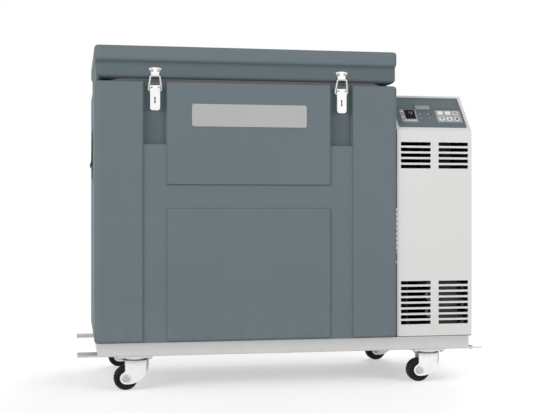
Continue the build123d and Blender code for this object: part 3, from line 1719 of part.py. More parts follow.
def power_supply():
    """The power supply and control board in a box on the chest's end wall."""
    y0 = cabinet_front_y + power_supply_setback
    z0 = cabinet_bottom + power_supply_lift
    box = block(
        chest_right, chest_right + power_supply_width, y0, y0 + power_supply_depth,
        z0, z0 + power_supply_height,
    )
    return [fillet(box.edges().filter_by(Axis.X), power_supply_rounding)]


def write_node(name, solids):
    """Write a node's solids to its own file."""
    shapes = []
    for piece in solids:
        shapes.extend(piece.solids())
    whole = shapes[0] if len(shapes) == 1 else Compound(children=shapes)
    whole.label = name
    export_step(whole, f"parts/{name}.step")
    print(name, len(shapes))


chest_body, chest_band = chest_outside()
chest_body -= chest_band
lid_body = lid_outside()

nodes = {
    "chassis_frame": chassis_frame(),
    "base_deck": base_deck(),
    "tie_down_lugs": tie_down_lugs(),
    "chassis_bolts": chassis_bolts(),
    "castor_plates": castor_plates(),
    "chest_shell": chest_shell(chest_body),
    "chest_foam": chest_foam(),
    "chest_liner": chest_liner(),
    "evaporator_band": evaporator_band(),
    "nameplate": nameplate(),
    "lid_shell": lid_shell(lid_body),
    "lid_foam": lid_foam(),
    "lid_liner": lid_liner(),
    "lid_gasket": lid_gasket(lid_body),
    "latch_keepers": latch_keepers(),
    "keeper_screws": keeper_screws(),
    "latch_bases": latch_bases(),
    "chest_hinge_leaves": chest_hinge_leaves(),
    "lid_hinge_leaves": lid_hinge_leaves(),
    "handle_cups": handle_cups(),
    "left_handle": handle(-1),
    "right_handle": handle(1),
    "pivot_pins": pivot_pins(),
    "cabinet_front": cabinet_front(),
    "cabinet_side": cabinet_side(),
    "cabinet_back": cabinet_back(),
    "power_inlet": power_inlet(),
    "control_fascia": control_fascia(),
    "recorder_cover": recorder_cover(),
    "display_module": display_module(),
    "indicator_lights": indicator_lights(),
    "keypad_plate": keypad_plate(),
    "compressor": compressor(),
    "condenser": condenser(),
    "fan_shroud": fan_shroud(),
    "condenser_fan": condenser_fan(),
    "refrigerant_lines": refrigerant_lines(),
    "power_supply": power_supply(),
}
for place, (swivel_x, swivel_y) in swivel_centres.items():
    nodes[f"castor_fork_{place}"] = castor_fork(swivel_x, swivel_y)
    nodes[f"castor_axle_{place}"] = castor_axle(swivel_x, swivel_y)
    nodes[f"castor_wheel_{place}"] = castor_wheel(swivel_x, swivel_y)
for side_name, latch_x in zip(latch_sides, latch_centres):
    nodes[f"latch_lever_{side_name}"] = latch_lever(latch_x)
    nodes[f"latch_bail_{side_name}"] = latch_bail(latch_x)
for key_index, key_name in key_names.items():
    nodes[key_name] = control_key(key_index)

for node_name, node_solids in nodes.items():
    write_node(node_name, node_solids)
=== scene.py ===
import bmesh
import bpy
import json
import math
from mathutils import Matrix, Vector


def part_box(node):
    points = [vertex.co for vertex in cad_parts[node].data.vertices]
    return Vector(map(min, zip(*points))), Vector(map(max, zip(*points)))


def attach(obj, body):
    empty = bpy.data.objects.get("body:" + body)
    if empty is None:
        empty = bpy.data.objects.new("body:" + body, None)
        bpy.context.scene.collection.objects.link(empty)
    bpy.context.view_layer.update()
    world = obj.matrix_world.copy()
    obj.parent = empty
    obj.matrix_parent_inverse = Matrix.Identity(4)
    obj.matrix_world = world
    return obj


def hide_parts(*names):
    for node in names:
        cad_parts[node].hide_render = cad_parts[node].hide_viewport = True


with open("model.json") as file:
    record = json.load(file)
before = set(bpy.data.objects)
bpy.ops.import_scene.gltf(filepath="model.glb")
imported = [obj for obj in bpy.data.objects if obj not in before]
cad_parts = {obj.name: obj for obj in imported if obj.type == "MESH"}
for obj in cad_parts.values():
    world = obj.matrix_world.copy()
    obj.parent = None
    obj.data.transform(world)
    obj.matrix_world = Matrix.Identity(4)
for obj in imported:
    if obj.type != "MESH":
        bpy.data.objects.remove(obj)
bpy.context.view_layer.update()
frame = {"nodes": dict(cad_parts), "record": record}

scene = bpy.context.scene
nodes = frame["nodes"]


# camera

# the photograph's view: level, turned a little to the right, standing left of the chest's middle
photoView = {"lens": 71.4, "sensor": 36.0, "place": (-0.5477, -3.03655, 0.4695), "turn": -10.5}

cameraData = bpy.data.cameras.new("photoCamera")
cameraData.lens = photoView["lens"]
cameraData.sensor_width = photoView["sensor"]
camera = bpy.data.objects.new("photoCamera", cameraData)
camera.location = photoView["place"]
camera.rotation_euler = (math.radians(90), 0, math.radians(photoView["turn"]))
scene.collection.objects.link(camera)
scene.camera = camera
scene.view_settings.view_transform = "Standard"
print("camera placed")


# shader kit

def tone(red, green, blue):
    # a screen colour from 0 to 255 as the linear colour that a shader wants
    def linear(value):
        share = value / 255
        return share / 12.92 if share <= 0.04045 else ((share + 0.055) / 1.055) ** 2.4

    return (linear(red), linear(green), linear(blue), 1.0)


class Wire:
    # a socket that takes part in plain arithmetic: each operator adds its Math node
    def __init__(self, finish, socket):
        self.finish = finish
        self.socket = socket

    def maths(self, operation, first, second=0.0, clamp=False):
        settings = {"operation": operation, "use_clamp": clamp}
        return self.finish.node("ShaderNodeMath", settings, {0: first, 1: second})

    def __add__(self, other):
        return self.maths("ADD", self, other)

    def __sub__(self, other):
        return self.maths("SUBTRACT", self, other)

    def __rsub__(self, other):
        return self.maths("SUBTRACT", other, self)

    def __mul__(self, other):
        return self.maths("MULTIPLY", self, other)

    def __gt__(self, other):
        return self.maths("GREATER_THAN", self, other)

    def __lt__(self, other):
        return self.maths("LESS_THAN", self, other)

    __radd__ = __add__
    __rmul__ = __mul__

    def least(self, other):
        return self.maths("MINIMUM", self, other)

    def most(self, other):
        return self.maths("MAXIMUM", self, other)

    def size(self):
        return self.maths("ABSOLUTE", self)

    def clipped(self):
        return self.maths("ADD", self, 0.0, clamp=True)


class Finish:
    # one material or world: what is the same all over sits on the shader's own sockets
    def __init__(self, name, tree=None):
        if tree is None:
            self.material = bpy.data.materials.new(name)
            self.material.use_nodes = True
            tree = self.material.node_tree
        self.tree = tree
        self.tree.nodes.clear()
        self.spot = None

    def node(self, kind, settings=None, sockets=None, output=0):
        made = self.tree.nodes.new(kind)
        for name, value in (settings or {}).items():
            if name == "stops":
                self.setStops(made.color_ramp.elements, value)
            else:
                setattr(made, name, value)
        for name, value in (sockets or {}).items():
            if isinstance(value, Wire):
                self.tree.links.new(value.socket, made.inputs[name])
            else:
                made.inputs[name].default_value = value
        return Wire(self, made.outputs[output]) if made.outputs else None

    def setStops(self, elements, stops):
        while len(elements) < len(stops):
            elements.new(0.5)
        for element, (position, colour) in zip(elements, stops):
            element.position = position
            element.color = colour

    def place(self):
        # the piece's own coordinates, in metres, which ride with it
        if self.spot is None:
            self.spot = self.node("ShaderNodeTexCoord", output="Object")
        return self.spot

    def axes(self, vector=None):
        split = self.node("ShaderNodeSeparateXYZ", sockets={0: vector or self.place()})
        return [Wire(self, socket) for socket in split.socket.node.outputs]

    def noise(self, scale, detail=2.0, roughness=0.5, stretch=None):
        spot = self.place()
        if stretch:
            spot = self.node("ShaderNodeVectorMath", {"operation": "MULTIPLY"}, {0: spot, 1: stretch})
        sockets = {"Vector": spot, "Scale": scale, "Detail": detail, "Roughness": roughness}
        return self.node("ShaderNodeTexNoise", None, sockets)

    def cells(self, scale, output="Distance"):
        sockets = {"Vector": self.place(), "Scale": scale}
        return self.node("ShaderNodeTexVoronoi", None, sockets, output)

    def spread(self, value, low, high, start=0.3, end=0.7):
        # carries a value that runs from start to end over to the stretch from low to high
        return self.node("ShaderNodeMapRange", None, {0: value, 1: start, 2: end, 3: low, 4: high})

    def tint(self, factor, first, second):
        return self.node("ShaderNodeMix", {"data_type": "RGBA"}, {0: factor, 6: first, 7: second}, 2)

    def recess(self, reach, alone=True):
        # 0 on open faces, rising towards 1 in corners, gaps and sunk places, of this piece alone or of all
        sockets = {"Color": (1, 1, 1, 1), "Distance": reach}
        settings = {"samples": 8, "only_local": alone}
        return 1 - self.node("ShaderNodeAmbientOcclusion", settings, sockets, "AO")

    def bump(self, height, strength, distance, under=None):
        sockets = {"Height": height, "Strength": strength, "Distance": distance}
        if under:
            sockets["Normal"] = under
        return self.node("ShaderNodeBump", None, sockets)

    def surface(self, **sockets):
        named = {name.replace("_", " "): value for name, value in sockets.items()}
        shader = self.node("ShaderNodeBsdfPrincipled", None, named)
        self.node("ShaderNodeOutputMaterial", None, {"Surface": shader})
        return self.material


# studio

studio = {
    "skyStrength": 0.44,
    "floorBounce": 0.56,        # how much light the floor gives back to the object
    "floorShade": 0.72,         # how strongly the floor shows its shadow to the camera
    "floorLift": 0.465,
    "floorReach": 14.0,
    "fadeFrom": 1.1,            # metres from the middle, where the floor begins to fade to white
    "fadeTo": 2.4,
    "lamps": [
        # name, place, aim, size, power
        ("keyBox", (3.8, -4.4, 1.8), (0.0, 0.0, 0.45), 3.4, 137.0),
        ("fillBox", (-4.6, -3.2, 1.8), (0.0, 0.0, 0.45), 3.4, 172.0),
        ("rearBox", (2.0, 4.6, 2.8), (0.0, 0.0, 0.45), 3.0, 160.0),
    ],
}


def seenDirectly(finish):
    # 1 for the rays that should meet a plain white ground: camera, glossy and transmission rays
    path = finish.node("ShaderNodeLightPath")
    outputs = path.socket.node.outputs
    names = ("Is Camera Ray", "Is Glossy Ray", "Is Transmission Ray")
    direct, glossy, through = [Wire(finish, outputs[name]) for name in names]
    return direct.most(glossy).most(through)


def studioWorld():
    world = bpy.data.worlds.new("studioWorld")
    world.use_nodes = True
    sky = Finish("studioWorld", world.node_tree)
    lit = sky.node("ShaderNodeBackground", None, {0: (1, 1, 1, 1), 1: studio["skyStrength"]})
    white = sky.node("ShaderNodeBackground", None, {0: (1, 1, 1, 1), 1: 1.0})
    mixed = sky.node("ShaderNodeMixShader", None, {0: seenDirectly(sky), 1: lit, 2: white})
    sky.node("ShaderNodeOutputWorld", None, {"Surface": mixed})
    scene.world = world


def studioFloor():
    floor = Finish("studioFloor")

    def matt(shade):
        return floor.node("ShaderNodeBsdfDiffuse", None, {"Color": (shade, shade, shade, 1)})

    glow = floor.node("ShaderNodeEmission", None, {0: (1, 1, 1, 1), 1: studio["floorLift"]})
    white = floor.node("ShaderNodeEmission", None, {0: (1, 1, 1, 1), 1: 1.0})
    lifted = floor.node("ShaderNodeAddShader", None, {0: matt(studio["floorShade"]), 1: glow})
    away = floor.node("ShaderNodeVectorMath", {"operation": "LENGTH"}, {0: floor.place()}, "Value")
    fade = floor.spread(away, 0, 1, studio["fadeFrom"], studio["fadeTo"])
    seen = floor.node("ShaderNodeMixShader", None, {0: fade, 1: lifted, 2: white})
    bounce = matt(studio["floorBounce"])
    mixed = floor.node("ShaderNodeMixShader", None, {0: seenDirectly(floor), 1: bounce, 2: seen})
    floor.node("ShaderNodeOutputMaterial", None, {"Surface": mixed})
    reach = studio["floorReach"]
    mesh = bmesh.new()
    places = ((-reach, -reach), (reach, -reach), (reach, reach), (-reach, reach))
    mesh.faces.new([mesh.verts.new((x, y, 0)) for x, y in places])
    data = bpy.data.meshes.new("studioFloor")
    mesh.to_mesh(data)
    mesh.free()
    data.materials.append(floor.material)
    ground = bpy.data.objects.new("studioFloor", data)
    scene.collection.objects.link(ground)


def studioLamps():
    for name, place, aim, size, power in studio["lamps"]:
        data = bpy.data.lights.new(name, "AREA")
        data.shape = "SQUARE"
        data.size = size
        data.energy = power
        lamp = bpy.data.objects.new(name, data)
        lamp.location = place
        lamp.rotation_euler = (Vector(aim) - Vector(place)).to_track_quat("-Z", "Y").to_euler()
        scene.collection.objects.link(lamp)


studioWorld()
studioFloor()
studioLamps()
print("studio ready")


# measures taken from the frame

def boxOf(node):
    low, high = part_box(node)
    return Vector(low), Vector(high)


mm = 0.001
slack = 0.5 * mm        # how far a mask reaches past the face that bounds it
chestLow, chestHigh = boxOf("chest_shell")
cabinetLow, cabinetHigh = boxOf("cabinet_front")
sideHigh = boxOf("cabinet_side")[1]

# painted shade in the pockets behind the two latches, in millimetres, with their middles taken from the
# levers
pocket = {
    "half": 33.25, "high": 160.0, "back": 16.0,
    "sunkFrom": 4.4, "sunkTo": 8.0,         # the depths between which the shade sets in
    "footBelow": 14.0, "footAbove": 4.0,    # where it fades out, below and above the lever's lower end
    "widest": 1.1,                          # in half widths
    "shade": 0.30, "wallShade": -0.34,      # in the middle, and what is added towards the walls
}
leverBoxes = [boxOf("latch_lever_" + side) for side in ("left", "right")]
pocket["middles"] = [(low.x + high.x) / 2 for low, high in leverBoxes]

# the levers' key slots and the painted shade in them, in millimetres, with middles and height taken from
# levers
keyway = {
    "aside": 0.6, "drop": 38.0, "half": 2.6, "reach": 10.0, "depth": 0.25,
    "shade": 0.97, "tone": (16, 16, 16),
}
keyway["middles"] = [middle - keyway["aside"] * mm for middle in pocket["middles"]]
keyway["height"] = leverBoxes[0][1].z - keyway["drop"] * mm

# the lid's two tiers: heights in metres, and in millimetres how the painted shade at step and rolled edge
# fades
tier = {
    "step": 0.838, "soft": 0.2, "shade": 0.22,
    "reachBelow": 16.0, "reachAbove": 9.0, "cornerShade": 0.40,
    "bottom": 0.792, "rollReach": 9.0, "rollShade": 0.60,
}

# the castors' painted shade: where the forks bend back and where the races leave a gap, with heights in
# metres, and the rest in millimetres
castor = {
    "bendReach": 8.5, "bendSoft": 4.0, "bendRise": 12.0, "bendFoot": 0.034, "bendShade": 0.60,
    "bendTone": (120, 122, 125),
    "gapLow": 0.0765, "gapHigh": 0.0800, "gapShade": 0.8, "gapTone": (58, 60, 63),
}

# the control slope: its lower left corner and its three directions
slope = {"run": 96.0, "rise": 103.0}
slopeLength = math.hypot(slope["run"], slope["rise"])
slopeCorner = Vector((cabinetLow.x, cabinetLow.y, cabinetHigh.z - slope["rise"] * mm))
upSlope = Vector((0, slope["run"], slope["rise"])) / slopeLength
outOfSlope = Vector((0, -slope["rise"], slope["run"])) / slopeLength


def onSlope(across, up, out):
    # a point of the control face, in millimetres across, up the slope and out of it
    return slopeCorner + mm * (Vector((across, 0, 0)) + up * upSlope + out * outOfSlope)


# painted shade inside the cabinet, in millimetres: the sheets' skin and where the vent slots are; then its
# tone and roughness
inside = {
    "skin": 1.3, "overlap": 1.5, "bend": 8.0, "slotDrop": 12.0, "slotFrom": 0.15, "slotTo": 3.0,
    "tone": (9, 9, 10), "roughness": 0.8,
}


# finishes

def cabinetInsideShadeMask(finish):
    # 1 where shade is painted inside the cabinet: inner skins, slot edges, the deck and the chest's end wall
    x, y, z = finish.axes()
    behindFront = y - cabinetLow.y
    underTop = cabinetHigh.z - z
    underSlope = slopeCorner.dot(outOfSlope) - y * outOfSlope.y - z * outOfSlope.z
    fromSide = sideHigh.x - x
    fromRear = cabinetHigh.y - y
    skin = behindFront.least(underTop).least(underSlope).least(fromSide).least(fromRear)
    inner = (skin > inside["skin"] * mm) * (x > chestHigh.x - inside["overlap"] * mm)
    bend = inside["bend"] * mm
    clearOfBends = (x > cabinetLow.x + bend) * (fromSide > bend) * (z > cabinetLow.z + bend)
    slots = clearOfBends * (z < slopeCorner.z - inside["slotDrop"] * mm)
    slots = slots * (behindFront > inside["slotFrom"] * mm) * (behindFront < inside["slotTo"] * mm)
    return inner.most(slots)


def nearest(value, places):
    # how far a value is from the nearer of two places
    return (value - places[0]).size().least((value - places[1]).size())


def latchPocketShade(finish):
    # painted shade in the two deep pockets: less towards their side walls, and beside the levers none at all
    x, y, z = finish.axes()
    sunk = finish.spread(y - chestLow.y, 0, 1, pocket["sunkFrom"] * mm, pocket["sunkTo"] * mm)
    front = (y < chestLow.y + pocket["back"] * mm) * (z > chestHigh.z - pocket["high"] * mm)
    leverEnd = leverBoxes[0][0].z
    fadeLow, fadeHigh = leverEnd - pocket["footBelow"] * mm, leverEnd + pocket["footAbove"] * mm
    front = front * finish.spread(z, 1, 0, fadeLow, fadeHigh)
    toMiddle = nearest(x, pocket["middles"])
    across = toMiddle * (1 / (pocket["half"] * mm))
    inPocket = sunk * front * (across < pocket["widest"])
    return inPocket * (pocket["shade"] + across * across * pocket["wallShade"])


def tierShade(finish, z):
    # painted shade: the lid's lower tier stands back under the upper one and is painted darker, most along
    # the step and the rolled lower edge
    def fading(distance, reach):
        return (1 - distance.most(0) * (1 / (reach * mm))).most(0)

    step = tier["step"]
    below = finish.spread(z, 1, 0, step - tier["soft"] * mm, step + tier["soft"] * mm)
    under = fading(step - z, tier["reachBelow"])
    over = fading(z - step, tier["reachAbove"])
    corner = under * under * below + over * over * (1 - below)
    low = fading(z - tier["bottom"], tier["rollReach"])
    return below * tier["shade"] + corner * tier["cornerShade"] + low * tier["rollShade"]


# what all coats share: scales, the bumps' heights in metres, and how far sheen and dust change the roughness
coatBase = {
    "dustScale": 38, "dustRough": 0.3, "recessReach": 0.03, "rubStretch": (1, 1, 0.12),
    "sheenLess": 0.03, "sheenMore": 0.04, "waveHigh": 0.002, "peelHigh": 0.0004, "ior": 1.46,
}


def coated(name, look):
    # a sprayed or moulded coat: orange peel, drifts of tone, fine rubs, dust low down, painted shade in
    # recesses
    coat = Finish(name)
    drift = coat.noise(look["driftScale"], 3, 0.6)
    colour = coat.tint(coat.spread(drift, 0, 1), tone(*look["shade"]), tone(*look["otherShade"]))
    mottle = coat.noise(look["mottleScale"], 4, 0.7)
    mottled = coat.spread(mottle, 0, look["mottle"], 0.45, 0.75)
    colour = coat.tint(mottled, colour, tone(*look["mottleShade"]))
    x, y, z = coat.axes()
    low = coat.spread(z, 1, 0, look["dustFrom"], look["dustTo"])
    dust = low * coat.spread(coat.noise(coatBase["dustScale"], 5, 0.7), 0, look["dust"], 0.4, 0.7)
    colour = coat.tint(dust, colour, tone(*look["dustShade"]))
    deep = tone(*look["deepShade"])
    # painted shade in corners and recesses, from the piece's own occlusion
    colour = coat.tint(coat.recess(coatBase["recessReach"]) * look["recess"], colour, deep)
    rubs = coat.noise(look["rubScale"], 5, 0.65, coatBase["rubStretch"])
    sheen = look["sheen"]
    roughness = coat.spread(drift, sheen - coatBase["sheenLess"], sheen + coatBase["sheenMore"])
    roughness = roughness + dust * coatBase["dustRough"] + coat.spread(rubs, 0, look["rub"], 0.58, 0.7)
    # painted shade in the latch pockets
    if look.get("pockets"):
        colour = coat.tint(latchPocketShade(coat), colour, deep)
    # painted shade on the lid's lower tier
    if look.get("tier"):
        colour = coat.tint(tierShade(coat, z), colour, deep)
    if look.get("seam"):
        seam = (z < look["seam"]) * (z > cabinetLow.z - slack)
        colour = coat.tint(seam * look["seamShade"], colour, tone(*look["seamTone"]))
    # painted shadow on the cabinet's front beside the chest, whose end stands proud of it
    if look.get("beside"):
        beside = coat.spread(x, 1, 0, chestHigh.x, chestHigh.x + look["besideReach"])
        front = (y < cabinetLow.y + mm) * (z < slopeCorner.z)
        colour = coat.tint(beside * beside * front * look["beside"], colour, deep)
    # painted shade under the chest's overhang: the chassis darker towards its top
    if look.get("topEdge"):
        under = coat.spread(z, 0, 1, look["topEdge"] - look["topReach"], look["topEdge"])
        colour = coat.tint(under * look["topShade"], colour, deep)
    # painted shade along the chassis's lower edge
    if look.get("footEdge"):
        colour = coat.tint((z < look["footEdge"]) * look["footShade"], colour, deep)
    # painted shade on every face inside the cabinet, with a duller surface there
    if look.get("paintedInsideShade"):
        inner = cabinetInsideShadeMask(coat)
        colour = coat.tint(inner * look["paintedInsideShade"], colour, tone(*inside["tone"]))
        roughness = roughness.most(inner * inside["roughness"])
    peel = coat.noise(look["peelScale"], 2, 0.5)
    waves = coat.noise(look["waveScale"], 1, 0.4)
    normal = coat.bump(peel, look["peel"], coatBase["peelHigh"])
    normal = coat.bump(waves, look["wave"], coatBase["waveHigh"], normal)
    return coat.surface(
        Base_Color=colour, Roughness=roughness.clipped(), Normal=normal, IOR=coatBase["ior"],
        Specular_IOR_Level=look["gloss"],
    )


# the dark joint along the cover's lower edge, in millimetres from its line
flapJoint = {"below": 1.3, "above": 0.5, "shade": 0.8, "tone": (36, 40, 43)}

# what all plastics share: the scales of pits and marks against grain and drift, how far grain and handling
# change the roughness, and the grain's height in metres
plasticBase = {
    "pitScale": 0.8, "pit": 0.5, "markScale": 7, "sheenLess": 0.05, "sheenMore": 0.06, "handled": 0.3,
    "grainHigh": 0.0003, "gloss": 0.3, "ior": 1.47,
}


def moulded(name, look):
    # a moulded plastic with a spark-eroded grain and faint handling marks
    plastic = Finish(name)
    grain = plastic.noise(look["grainScale"], 3, 0.6)
    pits = plastic.cells(look["grainScale"] * plasticBase["pitScale"])
    drift = plastic.noise(look["driftScale"], 3, 0.6)
    colour = plastic.tint(plastic.spread(drift, 0, 1), tone(*look["shade"]), tone(*look["otherShade"]))
    marks = plastic.noise(look["driftScale"] * plasticBase["markScale"], 5, 0.7)
    handled = plastic.spread(marks, 0, look["marks"], 0.55, 0.72)
    colour = plastic.tint(handled, colour, tone(*look["markShade"]))
    if look.get("flapLine"):
        x, y, z = plastic.axes()
        up = y * upSlope.y + z * upSlope.z - slopeCorner.dot(upSlope)
        line = look["flapLine"]
        joint = (up > (line - flapJoint["below"]) * mm) * (up < (line + flapJoint["above"]) * mm)
        colour = plastic.tint(joint * flapJoint["shade"], colour, tone(*flapJoint["tone"]))
    sheen = look["sheen"]
    roughness = plastic.spread(grain, sheen - plasticBase["sheenLess"], sheen + plasticBase["sheenMore"])
    roughness = roughness - handled * plasticBase["handled"]
    normal = plastic.bump(grain + pits * plasticBase["pit"], look["grain"], plasticBase["grainHigh"])
    return plastic.surface(
        Base_Color=colour, Roughness=roughness.clipped(), Normal=normal, IOR=plasticBase["ior"],
        Specular_IOR_Level=plasticBase["gloss"],
    )


def keywayShade(finish):
    # 1 inside the key slots of the two levers, and on the base plates behind them, where shade is painted
    x, y, z = finish.axes()
    toMiddle = nearest(x, keyway["middles"])
    inSlot = (toMiddle < keyway["half"] * mm) * ((z - keyway["height"]).size() < keyway["reach"] * mm)
    return inSlot * (y > leverBoxes[0][0].y + keyway["depth"] * mm)


metalBase = {"broadRough": 0.08, "lineHigh": 0.0002}     # what all drawn metals share


def drawn(name, look):
    # a brushed or drawn metal: fine lines along one direction over a slow change of sheen
    metal = Finish(name)
    lines = metal.noise(look["lineScale"], 4, 0.75, look["stretch"])
    broad = metal.noise(look["driftScale"], 3, 0.6)
    lined = metal.spread(lines, 0, 1, 0.25, 0.75)
    colour = metal.tint(lined, tone(*look["shade"]), tone(*look["otherShade"]))
    dulled = metal.spread(broad, 0, look["dull"], 0.45, 0.75)
    colour = metal.tint(dulled, colour, tone(*look["dullShade"]))
    # painted shade inside the key slots
    if look.get("keywayShade"):
        colour = metal.tint(keywayShade(metal) * keyway["shade"], colour, tone(*keyway["tone"]))
    sheen, change = look["sheen"], look["lines"]
    roughness = metal.spread(lines, sheen - change, sheen + change, 0.25, 0.75)
    roughness = roughness + metal.spread(broad, 0, metalBase["broadRough"], 0.4, 0.8)
    normal = metal.bump(lines, look["line"], metalBase["lineHigh"])
    return metal.surface(
        Base_Color=colour, Roughness=roughness.clipped(), Metallic=look["metal"], Normal=normal,
    )


def forkShades(finish):
    # painted shade: a grey band where each fork's rear edge bends, and a painted shadow in the gap below the
    # plate
    x, y, z = finish.axes()
    edges = [boxOf("castor_fork_front_" + side)[1].x for side in ("left", "right")]
    reach, foot = castor["bendReach"], castor["bendFoot"]
    bend = finish.spread(nearest(x, edges), 1, 0, (reach - castor["bendSoft"]) * mm, reach * mm)
    high = finish.spread(z, 0, 1, foot, foot + castor["bendRise"] * mm) * (z < castor["gapLow"])
    gap = (z > castor["gapLow"]) * (z < castor["gapHigh"])
    return bend * high * castor["bendShade"], gap * castor["gapShade"]


# what all zinc plating shares
zincBase = {
    "castScale": 26, "grimeScale": 90, "grimeShade": (96, 92, 86), "grimeRough": 0.4,
    "gapTone": (52, 54, 57), "sheenLess": 0.03, "sheenMore": 0.04,
    "grainScale": 700, "grain": 0.25, "grainHigh": 0.0002,
    # painted light on faces that look to the front:
    "facing": -0.7, "edge": 0.9,            # which faces count as front edges, and how much they change
}


def zinced(name, look):
    # electroplated zinc: crystals of slightly different sheen, a faint blue or straw cast, and painted shade
    # in gaps
    zinc = Finish(name)
    crystals = zinc.cells(look["crystalScale"], "Color")
    red, green, blue = zinc.axes(crystals)
    cast = zinc.noise(zincBase["castScale"], 3, 0.6)
    colour = zinc.tint(zinc.spread(cast, 0, 1), tone(*look["shade"]), tone(*look["otherShade"]))
    colour = zinc.tint(red * look["crystal"], colour, tone(*look["crystalShade"]))
    grime = zinc.spread(zinc.noise(zincBase["grimeScale"], 5, 0.7), 0, look["grime"], 0.52, 0.75)
    colour = zinc.tint(grime, colour, tone(*zincBase["grimeShade"]))
    # painted shade in gaps and corners, from all pieces near by
    gaps = (zinc.recess(look["gap"], alone=False) * look["gapShade"]).clipped()
    colour = zinc.tint(gaps, colour, tone(*zincBase["gapTone"]))
    # painted shade on the forks' bend and painted shadow in the race gap
    if look.get("fork"):
        bend, gap = forkShades(zinc)
        colour = zinc.tint(bend, colour, tone(*castor["bendTone"]))
        colour = zinc.tint(gap, colour, tone(*castor["gapTone"]))
    # painted light: faces that look to the front are lighter
    if look.get("edge"):
        across, deep, up = zinc.axes(zinc.node("ShaderNodeTexCoord", output="Normal"))
        colour = zinc.tint((deep < zincBase["facing"]) * zincBase["edge"], colour, tone(*look["edge"]))
    sheen = look["sheen"]
    roughness = zinc.spread(green, sheen - zincBase["sheenLess"], sheen + zincBase["sheenMore"], 0, 1)
    roughness = roughness + grime * zincBase["grimeRough"]
    normal = zinc.bump(zinc.noise(zincBase["grainScale"], 2, 0.5), zincBase["grain"], zincBase["grainHigh"])
    return zinc.surface(
        Base_Color=colour, Roughness=roughness.clipped(), Metallic=look["metal"], Normal=normal,
    )


coats = {
    "shell_paint": {
        "shade": (109, 121, 126), "otherShade": (106, 118, 123), "driftScale": 3.2,
        "mottle": 0.10, "mottleScale": 60, "mottleShade": (118, 130, 135),
        "dust": 0.16, "dustFrom": 0.125, "dustTo": 0.26, "dustShade": (150, 152, 150),
        "sheen": 0.50, "rub": 0.10, "rubScale": 22,
        "peel": 0.22, "peelScale": 850, "wave": 0.10, "waveScale": 28, "gloss": 0.06,
        "recess": 0.16, "deepShade": (44, 50, 53), "pockets": True, "paintedInsideShade": 0.97,
    },
    "lid_paint": {
        "shade": (110, 122, 127), "otherShade": (107, 119, 124), "driftScale": 3.0,
        "mottle": 0.10, "mottleScale": 64, "mottleShade": (119, 131, 136),
        "dust": 0.10, "dustFrom": 0.79, "dustTo": 0.80, "dustShade": (140, 144, 146),
        "sheen": 0.48, "rub": 0.10, "rubScale": 20,
        "peel": 0.22, "peelScale": 850, "wave": 0.10, "waveScale": 26, "gloss": 0.06,
        "recess": 0.16, "deepShade": (44, 50, 53), "tier": True,
    },
    "cabinet_paint": {
        "shade": (222, 222, 221), "otherShade": (219, 219, 217), "driftScale": 3.6,
        "mottle": 0.08, "mottleScale": 80, "mottleShade": (214, 214, 211),
        "dust": 0.18, "dustFrom": 0.123, "dustTo": 0.20, "dustShade": (196, 194, 188),
        "sheen": 0.46, "rub": 0.08, "rubScale": 26,
        "peel": 0.30, "peelScale": 1300, "wave": 0.06, "waveScale": 34, "gloss": 0.22,
        "recess": 0.35, "deepShade": (120, 120, 119), "paintedInsideShade": 0.985,
        "seam": 0.1250, "seamShade": 0.85, "seamTone": (50, 50, 50), "beside": 0.30, "besideReach": 0.011,
    },
    "chassis_paint": {
        "shade": (214, 214, 213), "otherShade": (210, 210, 209), "driftScale": 5.0,
        "mottle": 0.12, "mottleScale": 70, "mottleShade": (196, 196, 195),
        "dust": 0.22, "dustFrom": 0.086, "dustTo": 0.118, "dustShade": (180, 178, 174),
        "topEdge": 0.123, "topReach": 0.026, "topShade": 0.24, "footEdge": 0.0905, "footShade": 0.28,
        "sheen": 0.48, "rub": 0.12, "rubScale": 30,
        "peel": 0.30, "peelScale": 1200, "wave": 0.08, "waveScale": 40, "gloss": 0.22,
        "recess": 0.40, "deepShade": (110, 110, 109),
    },
    "deck_sheet": {
        "shade": (210, 210, 209), "otherShade": (205, 205, 203), "driftScale": 5.0,
        "mottle": 0.12, "mottleScale": 70, "mottleShade": (192, 191, 188),
        "dust": 0.25, "dustFrom": 0.11, "dustTo": 0.125, "dustShade": (170, 166, 158),
        "sheen": 0.48, "rub": 0.10, "rubScale": 30,
        "peel": 0.30, "peelScale": 1200, "wave": 0.06, "waveScale": 40, "gloss": 0.22,
        "recess": 0.40, "deepShade": (110, 110, 109), "paintedInsideShade": 0.98,
    },
    "compressor_enamel": {
        "shade": (26, 26, 28), "otherShade": (20, 20, 22), "driftScale": 9.0,
        "mottle": 0.20, "mottleScale": 90, "mottleShade": (44, 42, 40),
        "dust": 0.35, "dustFrom": 0.12, "dustTo": 0.32, "dustShade": (74, 70, 64),
        "sheen": 0.30, "rub": 0.10, "rubScale": 30,
        "peel": 0.40, "peelScale": 700, "wave": 0.10, "waveScale": 60, "gloss": 0.50,
        "recess": 0.30, "deepShade": (8, 8, 8),
    },
}

